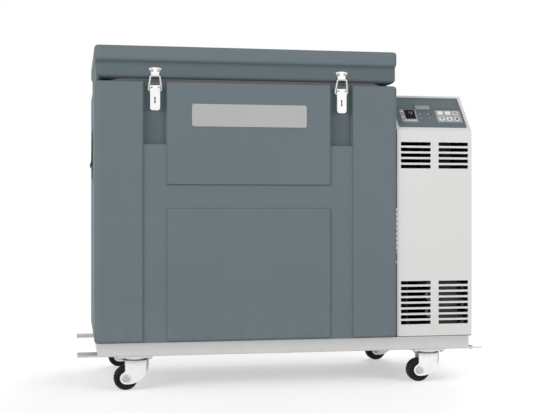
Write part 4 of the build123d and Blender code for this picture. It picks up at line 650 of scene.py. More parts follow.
plastics = {
    "fascia_plastic": {
        "shade": (100, 111, 115), "otherShade": (96, 107, 111), "driftScale": 9, "marks": 0.12,
        "markShade": (114, 124, 129), "grain": 0.35, "grainScale": 2400, "sheen": 0.50, "flapLine": 83.5,
    },
    "flap_plastic": {
        "shade": (101, 112, 116), "otherShade": (97, 108, 112), "driftScale": 9, "marks": 0.12,
        "markShade": (116, 126, 131), "grain": 0.35, "grainScale": 2400, "sheen": 0.48, "flapLine": 83.5,
    },
    "display_plastic": {
        "shade": (158, 160, 162), "otherShade": (150, 152, 154), "driftScale": 30, "marks": 0.15,
        "markShade": (188, 190, 192), "grain": 0.30, "grainScale": 2600, "sheen": 0.46,
    },
    "keypad_plastic": {
        "shade": (168, 170, 171), "otherShade": (161, 163, 164), "driftScale": 26, "marks": 0.12,
        "markShade": (184, 186, 187), "grain": 0.30, "grainScale": 2600, "sheen": 0.50,
    },
    "key_plastic": {
        "shade": (238, 238, 237), "otherShade": (232, 232, 230), "driftScale": 60, "marks": 0.12,
        "markShade": (214, 213, 210), "grain": 0.20, "grainScale": 2600, "sheen": 0.38,
    },
    "handle_plastic": {
        "shade": (30, 30, 31), "otherShade": (24, 24, 25), "driftScale": 24, "marks": 0.30,
        "markShade": (60, 60, 60), "grain": 0.70, "grainScale": 1500, "sheen": 0.52,
    },
    "cup_plastic": {
        "shade": (109, 121, 126), "otherShade": (105, 117, 122), "driftScale": 20, "marks": 0.20,
        "markShade": (126, 138, 143), "grain": 0.40, "grainScale": 1500, "sheen": 0.52,
    },
    "inlet_plastic": {
        "shade": (26, 26, 27), "otherShade": (21, 21, 22), "driftScale": 40, "marks": 0.20,
        "markShade": (54, 54, 54), "grain": 0.40, "grainScale": 1900, "sheen": 0.45,
    },
    "fan_plastic": {
        "shade": (30, 30, 32), "otherShade": (24, 24, 26), "driftScale": 40, "marks": 0.40,
        "markShade": (70, 67, 62), "grain": 0.40, "grainScale": 1900, "sheen": 0.50,
    },
    "liner_plastic": {
        "shade": (232, 233, 234), "otherShade": (226, 228, 229), "driftScale": 5, "marks": 0.10,
        "markShade": (212, 214, 216), "grain": 0.15, "grainScale": 900, "sheen": 0.36,
    },
    "lamp_lens": {
        "shade": (168, 172, 170), "otherShade": (156, 162, 158), "driftScale": 300, "marks": 0.20,
        "markShade": (196, 200, 198), "grain": 0.20, "grainScale": 2400, "sheen": 0.18,
    },
}

alongX = (0.02, 1, 1)
alongZ = (1, 1, 0.02)

metals = {
    "plate_metal": {
        "shade": (168, 168, 168), "otherShade": (177, 177, 177), "lineScale": 900, "stretch": (0.01, 1, 1),
        "driftScale": 9, "dull": 0.3, "dullShade": (160, 160, 161), "sheen": 0.50, "lines": 0.10,
        "line": 0.20, "metal": 0.15,
    },
    "latch_steel": {
        "shade": (243, 242, 240), "otherShade": (247, 246, 245), "lineScale": 700, "stretch": alongZ,
        "driftScale": 60, "dull": 0.2, "dullShade": (218, 217, 215), "sheen": 0.34, "lines": 0.05,
        "line": 0.06, "metal": 0.15, "keywayShade": True,
    },
    "bail_wire": {
        "shade": (214, 214, 212), "otherShade": (222, 222, 221), "lineScale": 900, "stretch": alongZ,
        "driftScale": 60, "dull": 0.2, "dullShade": (184, 184, 182), "sheen": 0.30, "lines": 0.06,
        "line": 0.08, "metal": 0.35,
    },
    "screw_steel": {
        "shade": (198, 198, 198), "otherShade": (210, 210, 210), "lineScale": 1400, "stretch": alongX,
        "driftScale": 200, "dull": 0.4, "dullShade": (170, 170, 170), "sheen": 0.34, "lines": 0.08,
        "line": 0.10, "metal": 0.3,
    },
    "hinge_steel": {
        "shade": (206, 207, 208), "otherShade": (222, 223, 224), "lineScale": 700, "stretch": alongX,
        "driftScale": 30, "dull": 0.4, "dullShade": (184, 184, 184), "sheen": 0.34, "lines": 0.09,
        "line": 0.15, "metal": 1.0,
    },
    "pin_steel": {
        "shade": (176, 177, 178), "otherShade": (196, 197, 198), "lineScale": 900, "stretch": alongX,
        "driftScale": 40, "dull": 0.4, "dullShade": (150, 150, 150), "sheen": 0.32, "lines": 0.09,
        "line": 0.12, "metal": 1.0,
    },
    "shroud_metal": {
        "shade": (84, 85, 87), "otherShade": (72, 73, 75), "lineScale": 500, "stretch": alongZ,
        "driftScale": 16, "dull": 0.5, "dullShade": (58, 57, 55), "sheen": 0.48, "lines": 0.08,
        "line": 0.12, "metal": 0.7,
    },
    "fin_metal": {
        "shade": (128, 129, 131), "otherShade": (114, 115, 117), "lineScale": 1200, "stretch": alongZ,
        "driftScale": 34, "dull": 0.3, "dullShade": (92, 91, 89), "sheen": 0.52, "lines": 0.10,
        "line": 0.20, "metal": 0.25,
    },
    # copper darkened far below its own colour: painted shade for the pipes in the cabinet's dark inside
    "copper_line": {
        "shade": (54, 47, 43), "otherShade": (66, 54, 47), "lineScale": 600, "stretch": alongZ,
        "driftScale": 36, "dull": 0.8, "dullShade": (40, 38, 36), "sheen": 0.50, "lines": 0.08,
        "line": 0.10, "metal": 0.5,
    },
    "supply_case": {
        "shade": (150, 151, 152), "otherShade": (166, 167, 168), "lineScale": 600, "stretch": alongX,
        "driftScale": 20, "dull": 0.4, "dullShade": (120, 120, 120), "sheen": 0.42, "lines": 0.08,
        "line": 0.12, "metal": 0.9,
    },
    "evaporator_plate": {
        "shade": (206, 208, 210), "otherShade": (218, 220, 222), "lineScale": 500, "stretch": alongX,
        "driftScale": 12, "dull": 0.3, "dullShade": (190, 191, 193), "sheen": 0.40, "lines": 0.08,
        "line": 0.12, "metal": 1.0,
    },
}

zincs = {
    # the lugs' zinc, with its front faces painted lighter: painted light
    "lug_zinc": {
        "shade": (176, 177, 177), "otherShade": (168, 168, 167), "crystal": 0.15, "crystalScale": 500,
        "crystalShade": (150, 151, 151), "grime": 0.30, "sheen": 0.40, "metal": 0.35,
        "gap": 0.004, "gapShade": 0.5, "edge": (204, 204, 203),
    },
    # a lighter copy of the zinc with less painted shade, so the castor plates read as lit: painted light
    "plate_zinc": {
        "shade": (252, 252, 252), "otherShade": (247, 248, 248), "crystal": 0.08, "crystalScale": 420,
        "crystalShade": (224, 225, 226), "grime": 0.08, "sheen": 0.30, "metal": 0.10,
        "gap": 0.003, "gapShade": 0.2, "fork": True,
    },
    "zinc_plate": {
        "shade": (248, 248, 248), "otherShade": (242, 243, 243), "crystal": 0.08, "crystalScale": 420,
        "crystalShade": (218, 219, 220), "grime": 0.08, "sheen": 0.30, "metal": 0.20,
        "gap": 0.006, "gapShade": 0.45, "fork": True,
    },
    "bolt_zinc": {
        "shade": (196, 197, 197), "otherShade": (186, 186, 184), "crystal": 0.30, "crystalScale": 700,
        "crystalShade": (176, 177, 176), "grime": 0.35, "sheen": 0.36, "metal": 0.5,
        "gap": 0.006, "gapShade": 0.8,
    },
}


foamLook = {
    "shade": (236, 226, 190), "agedShade": (224, 208, 160), "agedScale": 14,
    "largeScale": 420, "smallScale": 1300, "largeShare": 0.6, "poreShade": (176, 158, 112), "pore": 0.35,
    "bump": 0.8, "bumpHigh": 0.0015, "roughness": 0.92,
}


def foamFinish():
    # cut polyurethane: open cells of two sizes in a warm cream
    look = foamLook
    foam = Finish("foam")
    large = foam.cells(look["largeScale"])
    small = foam.cells(look["smallScale"])
    pores = large * look["largeShare"] + small * (1 - look["largeShare"])
    aged = foam.noise(look["agedScale"], 4, 0.6)
    colour = foam.tint(foam.spread(aged, 0, 1), tone(*look["shade"]), tone(*look["agedShade"]))
    colour = foam.tint(foam.spread(pores, look["pore"], 0, 0.1, 0.4), colour, tone(*look["poreShade"]))
    normal = foam.bump(pores, look["bump"], look["bumpHigh"])
    return foam.surface(Base_Color=colour, Roughness=look["roughness"], Normal=normal)


gasketLook = {
    "shade": (98, 95, 94), "bloomShade": (86, 84, 83), "bloomScale": 50,
    "lipPitch": 0.0016, "lipShade": (58, 55, 54), "lip": 0.35, "lipBump": 0.5, "lipHigh": 0.0006,
    "grainScale": 1200, "grain": 0.2, "grainHigh": 0.0002, "smooth": 0.58, "rough": 0.72,
}


def gasketFinish():
    # soft rubber with fine lips round its edge, and a bloom of dust
    look = gasketLook
    rubber = Finish("gasket_rubber")
    x, y, z = rubber.axes()
    lips = z.maths("PINGPONG", z, look["lipPitch"]) * (1 / look["lipPitch"])
    bloom = rubber.noise(look["bloomScale"], 5, 0.7)
    colour = rubber.tint(rubber.spread(bloom, 0, 1), tone(*look["shade"]), tone(*look["bloomShade"]))
    colour = rubber.tint(rubber.spread(lips, look["lip"], 0, 0, 0.5), colour, tone(*look["lipShade"]))
    normal = rubber.bump(rubber.noise(look["grainScale"]), look["grain"], look["grainHigh"])
    normal = rubber.bump(lips, look["lipBump"], look["lipHigh"], normal)
    roughness = rubber.spread(bloom, look["smooth"], look["rough"])
    return rubber.surface(Base_Color=colour, Roughness=roughness, Normal=normal)


tyreLook = {
    "shade": (27, 27, 28), "otherShade": (22, 22, 23), "driftScale": 40, "gloss": 0.2, "ior": 1.5,
    "treadFacing": 0.6,                     # faces turned less than this to the side are tread
    "scuffScale": 120, "scuffStretch": (1, 0.25, 1), "scuffRough": 0.12, "scuff": 0.25, "scuffHigh": 0.0004,
    "dust": 0.45, "dustShade": (54, 53, 51), "dustRough": 0.35, "sheen": 0.46,
    "grainScale": 1500, "grain": 0.25, "grainHigh": 0.0002,
}


def tyreFinish():
    # solid rubber: a dusty, lightly scuffed tread between smoother side walls
    look = tyreLook
    rubber = Finish("wheel_tyre")
    facing = rubber.node("ShaderNodeTexCoord", output="Normal")
    x, y, z = rubber.axes(facing)
    tread = y.size() < look["treadFacing"]
    scuffs = rubber.noise(look["scuffScale"], 6, 0.7, look["scuffStretch"])
    dusty = tread * rubber.spread(scuffs, 0, look["dust"], 0.45, 0.75)
    drift = rubber.spread(rubber.noise(look["driftScale"], 3), 0, 1)
    colour = rubber.tint(drift, tone(*look["shade"]), tone(*look["otherShade"]))
    colour = rubber.tint(dusty, colour, tone(*look["dustShade"]))
    roughness = look["sheen"] + rubber.spread(scuffs, 0, look["scuffRough"]) + dusty * look["dustRough"]
    normal = rubber.bump(rubber.noise(look["grainScale"]), look["grain"], look["grainHigh"])
    normal = rubber.bump(scuffs, look["scuff"], look["scuffHigh"], normal)
    return rubber.surface(
        Base_Color=colour, Roughness=roughness.clipped(), Normal=normal, IOR=look["ior"],
        Specular_IOR_Level=look["gloss"],
    )


glassLook = {
    "shade": (16, 16, 17), "smearShade": (22, 22, 23), "smearScale": 90, "smearStretch": (1, 0.4, 1),
    "smooth": 0.06, "smeared": 0.22, "waveScale": 500, "wave": 0.02, "waveHigh": 0.0001,
    "gloss": 0.15, "ior": 1.3,
}


def glassFinish():
    # the dark window over the display: smooth, with a trace of finger grease
    look = glassLook
    glass = Finish("display_glass")
    smears = glass.noise(look["smearScale"], 4, 0.6, look["smearStretch"])
    colour = glass.tint(glass.spread(smears, 0, 1), tone(*look["shade"]), tone(*look["smearShade"]))
    roughness = glass.spread(smears, look["smooth"], look["smeared"], 0.45, 0.75)
    normal = glass.bump(glass.noise(look["waveScale"]), look["wave"], look["waveHigh"])
    return glass.surface(
        Base_Color=colour, Roughness=roughness, Normal=normal, IOR=look["ior"],
        Specular_IOR_Level=look["gloss"],
    )


markLook = {"scale": 1600, "smooth": 0.42, "rough": 0.58, "bump": 0.1, "bumpHigh": 0.0001}


def markFinish(name, shade, otherShade, glow=0.0):
    # ink, a painted head or a lit segment: slightly uneven, as printed
    mark = Finish(name)
    uneven = mark.noise(markLook["scale"], 3, 0.6)
    colour = mark.tint(mark.spread(uneven, 0, 1), tone(*shade), tone(*otherShade))
    roughness = mark.spread(uneven, markLook["smooth"], markLook["rough"])
    return mark.surface(
        Base_Color=colour, Roughness=roughness, Emission_Color=colour, Emission_Strength=glow,
        Normal=mark.bump(uneven, markLook["bump"], markLook["bumpHigh"]),
    )


finishes = {name: coated(name, look) for name, look in coats.items()}
finishes.update({name: moulded(name, look) for name, look in plastics.items()})
finishes.update({name: drawn(name, look) for name, look in metals.items()})
finishes.update({name: zinced(name, look) for name, look in zincs.items()})
finishes["foam"] = foamFinish()
finishes["gasket_rubber"] = gasketFinish()
finishes["wheel_tyre"] = tyreFinish()
glassOfDisplay = glassFinish()
inkOfKeys = markFinish("key_ink", (30, 30, 32), (40, 40, 42))
segmentOfDisplay = markFinish("display_segment", (156, 159, 160), (142, 145, 146), 0.05)
paleWindow = markFinish("pale_window", (228, 229, 231), (216, 217, 219))
# dark rivet heads, and the same dark as painted shadow over the key slots and round the screw heads
darkRivetAndShadow = markFinish("dark_rivet_and_painted_shadow", (46, 46, 46), (36, 36, 36))

# nodes that look different from the rest of their material slot
ownFinish = {
    "tie_down_lugs": "lug_zinc", "castor_plates": "plate_zinc",
    "latch_bail_left": "bail_wire", "latch_bail_right": "bail_wire",
}
for entry in frame["record"]["subparts"]:
    slots = nodes[entry["node"]].data.materials
    slots.clear()
    slots.append(finishes[ownFinish.get(entry["node"], entry["material_slot"])])
print("finishes made:", len(finishes), "for the CAD nodes")


# mesh kit

smoothUnder = math.radians(32)      # edges that turn more than this stay sharp


def roundRect(x0, x1, y0, y1, radius, steps=5):
    # a rectangle with round corners, from its upper right corner anticlockwise
    left, right = x0 + radius, x1 - radius
    bottom, top = y0 + radius, y1 - radius
    corners = ((right, top), (left, top), (left, bottom), (right, bottom))
    points = []
    for quarter, (cx, cy) in enumerate(corners):
        for step in range(steps + 1):
            turn = math.radians(90 * (quarter + step / steps))
            points.append((cx + radius * math.cos(turn), cy + radius * math.sin(turn)))
    return points


def circle(cx, cy, radius, steps=32):
    turns = [2 * math.pi * step / steps for step in range(steps)]
    return [(cx + radius * math.cos(turn), cy + radius * math.sin(turn)) for turn in turns]


def shrunk(outline, amount):
    # each point moved in towards the outline's middle, by four fifths of the way at most
    cx = sum(u for u, v in outline) / len(outline)
    cy = sum(v for u, v in outline) / len(outline)
    points = []
    for u, v in outline:
        reach = math.hypot(u - cx, v - cy)
        share = max(reach - amount, 0.2 * reach) / reach
        points.append((cx + (u - cx) * share, cy + (v - cy) * share))
    return points


def skin(mesh, rings, looped=False):
    # joins rings of points with faces, and closes them at the ends or back to the first ring
    rows = [[mesh.verts.new(point) for point in ring] for ring in rings]
    pairs = list(zip(rows, rows[1:]))
    if looped:
        pairs.append((rows[-1], rows[0]))
    for near, far in pairs:
        for number in range(len(near)):
            following = (number + 1) % len(near)
            mesh.faces.new((near[number], near[following], far[following], far[number]))
    if not looped:
        mesh.faces.new(list(reversed(rows[0])))
        mesh.faces.new(rows[-1])


def pad(mesh, where, outline, base, top, edge):
    # a raised shape with a broken edge
    rings = [(outline, base), (outline, top - edge), (shrunk(outline, edge), top)]
    skin(mesh, [[where(u, v, height) for u, v in points] for points, height in rings])


def band(mesh, where, outer, inner, base, top, edge):
    # a raised ring between two outlines, with both its edges broken
    rings = [
        (outer, base), (outer, top - edge), (shrunk(outer, edge), top),
        (shrunk(inner, -edge), top), (inner, top - edge), (inner, base),
    ]
    skin(mesh, [[where(u, v, height) for u, v in points] for points, height in rings], looped=True)


def turned(mesh, centre, profile, steps=72):
    # turns a closed line of (radius, along) points about an axis that runs front to back through the centre
    rings = []
    for radius, along in profile:
        ring = circle(centre[0], centre[2], radius, steps)
        rings.append([mm * Vector((u, centre[1] + along, v)) for u, v in ring])
    skin(mesh, rings, looped=True)


def piece(name, mesh, body, slot, finish=None, replaced=()):
    # makes the finished object: it rides on a body and carries the finish given, or else that of one of the
    # part's slots
    bmesh.ops.recalc_face_normals(mesh, faces=mesh.faces)
    data = bpy.data.meshes.new(name)
    mesh.to_mesh(data)
    mesh.free()
    data.polygons.foreach_set("use_smooth", [True] * len(data.polygons))
    data.set_sharp_from_angle(angle=smoothUnder)
    data.materials.append(finish or finishes[slot])
    made = bpy.data.objects.new(name, data)
    scene.collection.objects.link(made)
    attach(made, body)
    if replaced:
        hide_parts(*replaced)


# lid

# in millimetres, as all the shapes below are
lidShape = {
    "middle": (-98.5, -4.05), "long": 792.0, "deep": 510.0, "top": 878.0, "step": 838.0, "bottom": 792.0,
    "edge": 8.0, "corner": 15.0, "lowerCorner": 11.0,
    "swell": 12.0, "swellIn": 4.0, "swellPower": 2.4, "swellRings": 8,     # the soft step between the tiers
    "roll": 14.0, "rollIn": 23.0, "rollCorner": 5.0,                        # the rolled lower edge
    "mouth": (-428.5, 231.5, -193.05, 184.95), "mouthCorner": 17.5, "mouthTop": 796.0,
    "ledge": 27.0, "ledgeHigh": 806.0, "cavity": 8.0, "cavityCorner": 7.0, "cavityTop": 874.0,
    "cornerSteps": 10,
}


def lidRing(inset, height, corner):
    cx, cy = lidShape["middle"]
    halfLong = lidShape["long"] / 2 - inset
    halfDeep = lidShape["deep"] / 2 - inset
    sides = (cx - halfLong, cx + halfLong, cy - halfDeep, cy + halfDeep)
    outline = roundRect(*sides, corner, lidShape["cornerSteps"])
    return [mm * Vector((u, v, height)) for u, v in outline]


def lidSkin():
    # one closed shell: top face, soft step, rolled lower edge, mouth and cavity, with its turns in degrees
    shape = lidShape
    rings = []
    for turn in range(90, -1, -10):
        inset = shape["edge"] * (1 - math.cos(math.radians(turn)))
        height = shape["top"] - shape["edge"] * (1 - math.sin(math.radians(turn)))
        rings.append(lidRing(inset, height, shape["corner"] - inset))
    for count in range(shape["swellRings"] + 1):
        share = count / shape["swellRings"]
        inset = shape["swellIn"] * share ** shape["swellPower"]
        rings.append(lidRing(inset, shape["step"] + shape["swell"] * (1 - share), shape["corner"] - inset))
    for turn in range(0, 91, 9):
        inset = shape["swellIn"] + shape["rollIn"] * (1 - math.cos(math.radians(turn)))
        height = shape["bottom"] + shape["roll"] * (1 - math.sin(math.radians(turn)))
        corner = shape["lowerCorner"] - (shape["lowerCorner"] - shape["rollCorner"]) * turn / 90
        rings.append(lidRing(inset, height, corner))
    mouth = roundRect(*shape["mouth"], shape["mouthCorner"], shape["cornerSteps"])
    for height in (shape["bottom"], shape["mouthTop"]):
        rings.append([mm * Vector((u, v, height)) for u, v in mouth])
    rings.append(lidRing(shape["ledge"], shape["mouthTop"], shape["rollCorner"]))
    rings.append(lidRing(shape["ledge"], shape["ledgeHigh"], shape["rollCorner"]))
    rings.append(lidRing(shape["cavity"], shape["ledgeHigh"], shape["cavityCorner"]))
    rings.append(lidRing(shape["cavity"], shape["cavityTop"], shape["cavityCorner"]))
    mesh = bmesh.new()
    skin(mesh, rings)
    piece("lid_skin", mesh, "lid", "lid_paint", replaced=["lid_shell"])


lidSkin()
print("lid made")


# castor wheels

wheel = {
    "radius": 31.0, "half": 14.0, "edge": 5.0, "edgeSteps": 6, "partingLine": 0.25, "partingHalf": 0.6,
    "groove": 0.5, "grooveEdges": (25.2, 24.9, 24.3, 24.0),
    "dishRadius": 22.0, "dish": 3.0, "hubRadius": 12.0, "hubProud": 0.5, "bore": 4.06,
}


def wheelHalf(side):
    # one side of the wheel's section, from the tread's middle in to the bore
    half = wheel["half"]
    edge = wheel["edge"]
    tread = wheel["radius"] - wheel["partingLine"]
    points = [(wheel["radius"], 0.0), (tread, wheel["partingHalf"] * side)]
    for step in range(wheel["edgeSteps"] + 1):
        turn = math.radians(90 - 90 * step / wheel["edgeSteps"])
        reach = tread - edge + edge * math.sin(turn)
        points.append((reach, side * (half - edge + edge * math.cos(turn))))
    # the side wall's groove, then the dish, the hub and the bore, each with its edges broken
    grooveFloor = half - wheel["groove"]
    first, second, third, fourth = wheel["grooveEdges"]
    floor = half - wheel["dish"]
    proud = half + wheel["hubProud"]
    dish, hub, bore = wheel["dishRadius"], wheel["hubRadius"], wheel["bore"]
    section = [
        (first, half), (second, grooveFloor), (third, grooveFloor), (fourth, half),
        (dish + 0.6, half), (dish, half - 0.6), (dish - 0.5, floor + 0.8), (dish - 1.3, floor),
        (hub + 1.4, floor), (hub + 0.3, floor + 0.6), (hub, proud - 0.6), (hub - 0.6, proud),
        (bore + 0.5, proud), (bore, proud - 0.5),
    ]
    return points + [(radius, side * along) for radius, along in section]


def castorWheels():
    near = wheelHalf(-1)
    far = wheelHalf(1)
    profile = near + list(reversed(far))[:-1]
    for corner in ("front_left", "front_right", "rear_left", "rear_right"):
        low, high = boxOf("castor_wheel_" + corner)
        middle = (low + high) / 2 / mm
        mesh = bmesh.new()
        turned(mesh, middle, profile)
        piece("wheel_" + corner, mesh, "wheel_" + corner, "wheel_tyre", replaced=["castor_wheel_" + corner])


castorWheels()
print("castor wheels made")


# draw latches

latch = {
    "sunk": 0.05,                           # how deep the marks' foot sits in the lever
    "frameWidth": 14.4, "frameLine": 1.0, "frameTop": 10.5, "frameBottom": 56.0, "frameCorner": 3.2,
    "frameHigh": 0.45, "frameEdge": 0.2,
    # the key slot's dark pad, a painted shadow, and its end dots
    "keyWidth": 2.9, "keyTop": 30.0, "keyLong": 16.0, "keyHigh": 0.06, "keyEdge": 0.02,
    "keyDot": 2.3, "keyDots": (32.3, 43.6), "keyDotHigh": 0.07,
    "rivetSpacing": 17.6, "rivetDrop": 6.6, "rivetRadius": 1.9, "rivetHigh": 0.4, "rivetEdge": 0.25,
    "screwSpacing": 18.0, "screwRadius": 2.9, "hexRadius": 1.4, "hexTop": 1.36, "hexFloor": 1.0,
    # the screw's dome: shares of its radius, and the height at each
    "dome": [(1.0, 0.0), (1.0, 0.35), (0.93, 0.75), (0.78, 1.1), (0.62, 1.3), (0.52, 1.4)],
    # the dark rim round each screw head, a painted shadow
    "rimRadius": 3.9, "rimInside": 0.1, "rimHigh": 0.3, "rimEdge": 0.1,
    "screwSteps": 36, "dotSteps": 20,
}


def hexagon(cx, cy, radius, steps):
    # a hexagon given by as many points as a circle, so that the two can be joined
    points = []
    for step in range(steps):
        turn = 2 * math.pi * step / steps
        toMiddle = (turn % (math.pi / 3)) - math.pi / 6
        reach = radius * math.cos(math.pi / 6) / math.cos(toMiddle)
        points.append((cx + reach * math.cos(turn), cy + reach * math.sin(turn)))
    return points


def leverMarks(side):
    # the pressed frame round the keyhole, and the two rivets above it
    low, high = boxOf("latch_lever_" + side)
    middle = (low.x + high.x) / 2 / mm
    top = high.z / mm
    face = low.y / mm
    foot = -latch["sunk"]

    def onLever(across, drop, out):
        return mm * Vector((middle + across, face - out, top - drop))

    half = latch["frameWidth"] / 2
    line = latch["frameLine"]
    start, end, corner = latch["frameTop"], latch["frameBottom"], latch["frameCorner"]
    outer = roundRect(-half, half, start, end, corner)
    inner = roundRect(-half + line, half - line, start + line, end - line, corner - line)
    mesh = bmesh.new()
    band(mesh, onLever, outer, inner, foot, latch["frameHigh"], latch["frameEdge"])
    piece("lever_frame_" + side, mesh, "lever_" + side, "latch_steel")
    # a dark pad over the key slot and its end holes: a painted shadow
    slot = bmesh.new()
    width = latch["keyWidth"] / 2
    across = -keyway["aside"]
    ends = [latch["keyTop"], latch["keyTop"] + latch["keyLong"]]
    outline = roundRect(across - width, across + width, *ends, width - latch["sunk"])
    pad(slot, onLever, outline, foot, latch["keyHigh"], latch["keyEdge"])
    for drop in latch["keyDots"]:
        outline = circle(across, drop, latch["keyDot"], latch["dotSteps"])
        pad(slot, onLever, outline, foot, latch["keyDotHigh"], latch["keyEdge"])
    piece("lever_keyway_" + side, slot, "lever_" + side, "latch_steel", darkRivetAndShadow)
    rivets = bmesh.new()
    for place in (-1, 1):
        across = place * latch["rivetSpacing"] / 2
        head = circle(across, latch["rivetDrop"], latch["rivetRadius"], latch["dotSteps"])
        pad(rivets, onLever, head, foot, latch["rivetHigh"], latch["rivetEdge"])
    piece("lever_rivets_" + side, rivets, "lever_" + side, "pin_steel", darkRivetAndShadow)


def keeperScrews():
    # the dome heads of the two keepers' screws, with a hexagon recess, and a dark rim as painted shadow
    # round each
    low, high = boxOf("keeper_screws")
    mesh = bmesh.new()
    rims = bmesh.new()
    back = high.y / mm
    row = (low.z + high.z) / 2 / mm

    def onKeeper(across, up, out):
        return mm * Vector((across, back - out, up))

    radius = latch["screwRadius"]
    steps = latch["screwSteps"]
    for middle in pocket["middles"]:
        for place in (-1, 1):
            cx = middle / mm + place * latch["screwSpacing"] / 2
            recess = hexagon(cx, row, latch["hexRadius"], steps)
            layers = [(circle(cx, row, radius * share, steps), out) for share, out in latch["dome"]]
            layers += [(recess, latch["hexTop"]), (recess, latch["hexFloor"])]
            skin(mesh, [[onKeeper(u, v, out) for u, v in outline] for outline, out in layers])
            outer = circle(cx, row, latch["rimRadius"], steps)
            inner = circle(cx, row, radius - latch["rimInside"], steps)
            band(rims, onKeeper, outer, inner, 0.0, latch["rimHigh"], latch["rimEdge"])
    steel = finishes["screw_steel"]
    piece("keeper_screw_heads", mesh, "lid", "pin_steel", steel, replaced=["keeper_screws"])
    # the dark rims, a painted shadow round the screw heads
    piece("keeper_screw_painted_shadow_rims", rims, "lid", "pin_steel", darkRivetAndShadow)


for latchSide in ("left", "right"):
    leverMarks(latchSide)
keeperScrews()
print("draw latches dressed")


# control face

# boxes are left, right, bottom and top on the slope, and heights stand out of it
display = {
    "glass": (33.8, 62.6, 44.0, 79.9), "glassCorner": 0.9, "glassFoot": 2.4, "glassTop": 3.15,
    "glassEdge": 0.1,
    "windows": [
        (23.8, 30.2, 70.5, 75.5), (24.2, 30.2, 48.4, 52.8), (29.2, 35.4, 36.0, 40.6),
        (38.2, 44.0, 36.2, 40.0), (46.8, 52.4, 36.2, 40.0), (55.2, 61.6, 36.0, 40.6),
    ],
    "windowCorner": 1.6, "windowFoot": 2.95, "windowTop": 3.35, "windowEdge": 0.2,
}

# the strokes that a digit shows: top, upper left, upper right, middle, lower left, lower right, bottom
strokesOf = {"4": (0, 1, 1, 1, 0, 1, 0)}
digits = {
    "width": 7.0, "high": 14.0, "stroke": 1.8, "gap": 0.25, "lean": 0.12, "places": [(46.2, 60.0, "4")],
    "foot": 3.13, "top": 3.21, "edge": 0.03,
}


def digitStrokes(x, y, digit):
    # the outlines of one digit's strokes, with pointed ends, from its lower left corner
    wide = digits["width"]
    tall = digits["high"]
    half = digits["stroke"] / 2
    gap = digits["gap"]
    lines = [
        ((0, tall), (wide, tall)), ((0, tall / 2), (0, tall)), ((wide, tall / 2), (wide, tall)),
        ((0, tall / 2), (wide, tall / 2)), ((0, 0), (0, tall / 2)), ((wide, 0), (wide, tall / 2)),
        ((0, 0), (wide, 0)),
    ]
    outlines = []
    for shown, ((ax, ay), (bx, by)) in zip(strokesOf[digit], lines):
        if not shown:
            continue
        length = math.hypot(bx - ax, by - ay)
        ux, uy = (bx - ax) / length, (by - ay) / length
        ends = [(gap, 0), (gap + half, half), (length - gap - half, half), (length - gap, 0),
                (length - gap - half, -half), (gap + half, -half)]
        points = [(ax + s * ux - t * uy, ay + s * uy + t * ux) for s, t in ends]
        outlines.append([(x + u + v * digits["lean"], y + v) for u, v in points])
    return outlines


def displayFace():
    glass = bmesh.new()
    outline = roundRect(*display["glass"], display["glassCorner"])
    pad(glass, onSlope, outline, display["glassFoot"], display["glassTop"], display["glassEdge"])
    piece("display_window", glass, "root", "display_plastic", glassOfDisplay)
    shown = bmesh.new()
    for x, y, digit in digits["places"]:
        for outline in digitStrokes(x, y, digit):
            pad(shown, onSlope, outline, digits["foot"], digits["top"], digits["edge"])
    piece("display_digits", shown, "root", "display_plastic", segmentOfDisplay)
    windows = bmesh.new()
    for box in display["windows"]:
        outline = roundRect(*box, display["windowCorner"])
        pad(windows, onSlope, outline, display["windowFoot"], display["windowTop"], display["windowEdge"])
    piece("display_status_windows", windows, "root", "display_plastic", paleWindow)


def keyPlace(key):
    # the middle of a key's top, in millimetres across and up the slope
    low, high = boxOf(key)
    middle = (low + high) / 2 - slopeCorner
    return middle.x / mm, middle.dot(upSlope) / mm


def keyTop():
    # how far the keys' tops stand out of the control face, in millimetres
    points = [vertex.co for vertex in nodes["key_up"].data.vertices]
    return max((point - slopeCorner).dot(outOfSlope) for point in points) / mm


# the marks on four of the keys, round each key's middle: a mark is a list of outlines, each with the width
# of its broken edge
keyMark = {
    "sunk": 0.2, "high": 0.12, "edge": 0.03,
    "arrow": [(-4.4, -3.8), (4.4, -3.8), (0.0, 4.4)],
    "ringOuter": 5.0, "ringInner": 2.6, "ringFrom": 125, "ringTurn": 290, "ringSteps": 28,
    "barHalf": 1.1, "barFoot": 0.2, "barTop": 5.4, "barCorner": 0.6,
    "halfBell": [(4.8, -3.2), (4.8, -2.1), (3.5, -0.8), (3.1, 2.1), (1.5, 4.0)], "bellTop": 4.8,
    "clapperDrop": 4.6, "clapperRadius": 1.2,
}


def arrowMark(x, y, turn):
    return [([(x + u, y + turn * v) for u, v in keyMark["arrow"]], keyMark["edge"])]


def powerMark(x, y):
    start, sweep, steps = keyMark["ringFrom"], keyMark["ringTurn"], keyMark["ringSteps"]
    turns = [math.radians(start + sweep * step / steps) for step in range(steps + 1)]

    def arc(radius):
        return [(x + radius * math.cos(turn), y + radius * math.sin(turn)) for turn in turns]

    half = keyMark["barHalf"]
    ring = arc(keyMark["ringOuter"]) + arc(keyMark["ringInner"])[::-1]
    foot, top = y + keyMark["barFoot"], y + keyMark["barTop"]
    bar = roundRect(x - half, x + half, foot, top, keyMark["barCorner"], 3)
    return [(ring, 0.0), (bar, keyMark["edge"])]


def bellMark(x, y):
    half = keyMark["halfBell"]
    bell = half + [(0, keyMark["bellTop"])] + [(-u, v) for u, v in reversed(half)]
    clapper = circle(x, y - keyMark["clapperDrop"], keyMark["clapperRadius"], 14)
    return [([(x + u, y + v) for u, v in bell], keyMark["edge"]), (clapper, keyMark["edge"])]


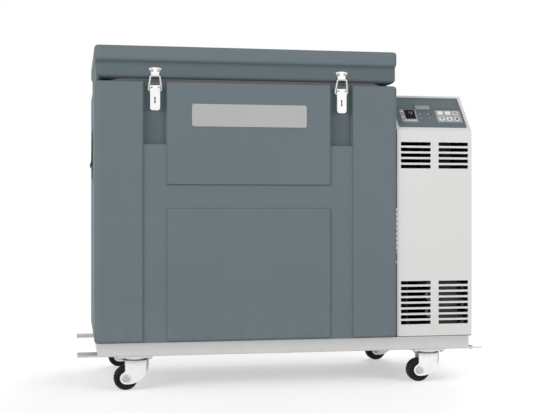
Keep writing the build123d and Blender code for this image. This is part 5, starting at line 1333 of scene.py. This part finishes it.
def keyMarks():
    marks = {
        "key_down": arrowMark(*keyPlace("key_down"), -1), "key_up": arrowMark(*keyPlace("key_up"), 1),
        "key_power": powerMark(*keyPlace("key_power")), "key_mute": bellMark(*keyPlace("key_mute")),
    }
    base = keyTop() - keyMark["sunk"]
    top = keyTop() + keyMark["high"]
    for key, outlines in marks.items():
        mesh = bmesh.new()
        for outline, edge in outlines:
            pad(mesh, onSlope, outline, base, top, edge)
        piece(key + "_mark", mesh, key, "key_plastic", inkOfKeys)


tab = {
    "box": (66.6, 108.6, 80.5, 95.6), "corner": 1.2, "foot": 3.6, "top": 5.1, "edge": 0.4,
    "ribs": [84.6, 87.4, 90.2, 93.0], "ribInset": 3.5, "ribHalf": 0.6, "ribCorner": 0.55,
    "ribFoot": 5.05, "ribTop": 5.4, "ribEdge": 0.25,
}


def coverTab():
    # the grey grip on the cover's lower edge, with low ribs for the finger
    left, right, bottom, top = tab["box"]
    mesh = bmesh.new()
    pad(mesh, onSlope, roundRect(*tab["box"], tab["corner"]), tab["foot"], tab["top"], tab["edge"])
    inset, half = tab["ribInset"], tab["ribHalf"]
    for y in tab["ribs"]:
        outline = roundRect(left + inset, right - inset, y - half, y + half, tab["ribCorner"], 3)
        pad(mesh, onSlope, outline, tab["ribFoot"], tab["ribTop"], tab["ribEdge"])
    piece("cover_tab_grip", mesh, "recorder_cover", "display_plastic")


# placed from the upper right corner of the lamps' box
spot = {
    "across": 5.9, "up": -5.6, "halfLong": 3.2, "halfHigh": 2.3, "corner": 1.6,
    "foot": 1.2, "top": 2.15, "edge": 0.1,
}


def darkSpot():
    # a small dark window beside the upper right lamp
    high = boxOf("indicator_lights")[1]
    x = (high.x - slopeCorner.x) / mm + spot["across"]
    y = (high - slopeCorner).dot(upSlope) / mm + spot["up"]
    mesh = bmesh.new()
    halfLong, halfHigh = spot["halfLong"], spot["halfHigh"]
    outline = roundRect(x - halfLong, x + halfLong, y - halfHigh, y + halfHigh, spot["corner"])
    pad(mesh, onSlope, outline, spot["foot"], spot["top"], spot["edge"])
    piece("fascia_sensor_window", mesh, "root", "fascia_plastic", inkOfKeys)


displayFace()
keyMarks()
coverTab()
darkSpot()
print("control face dressed")
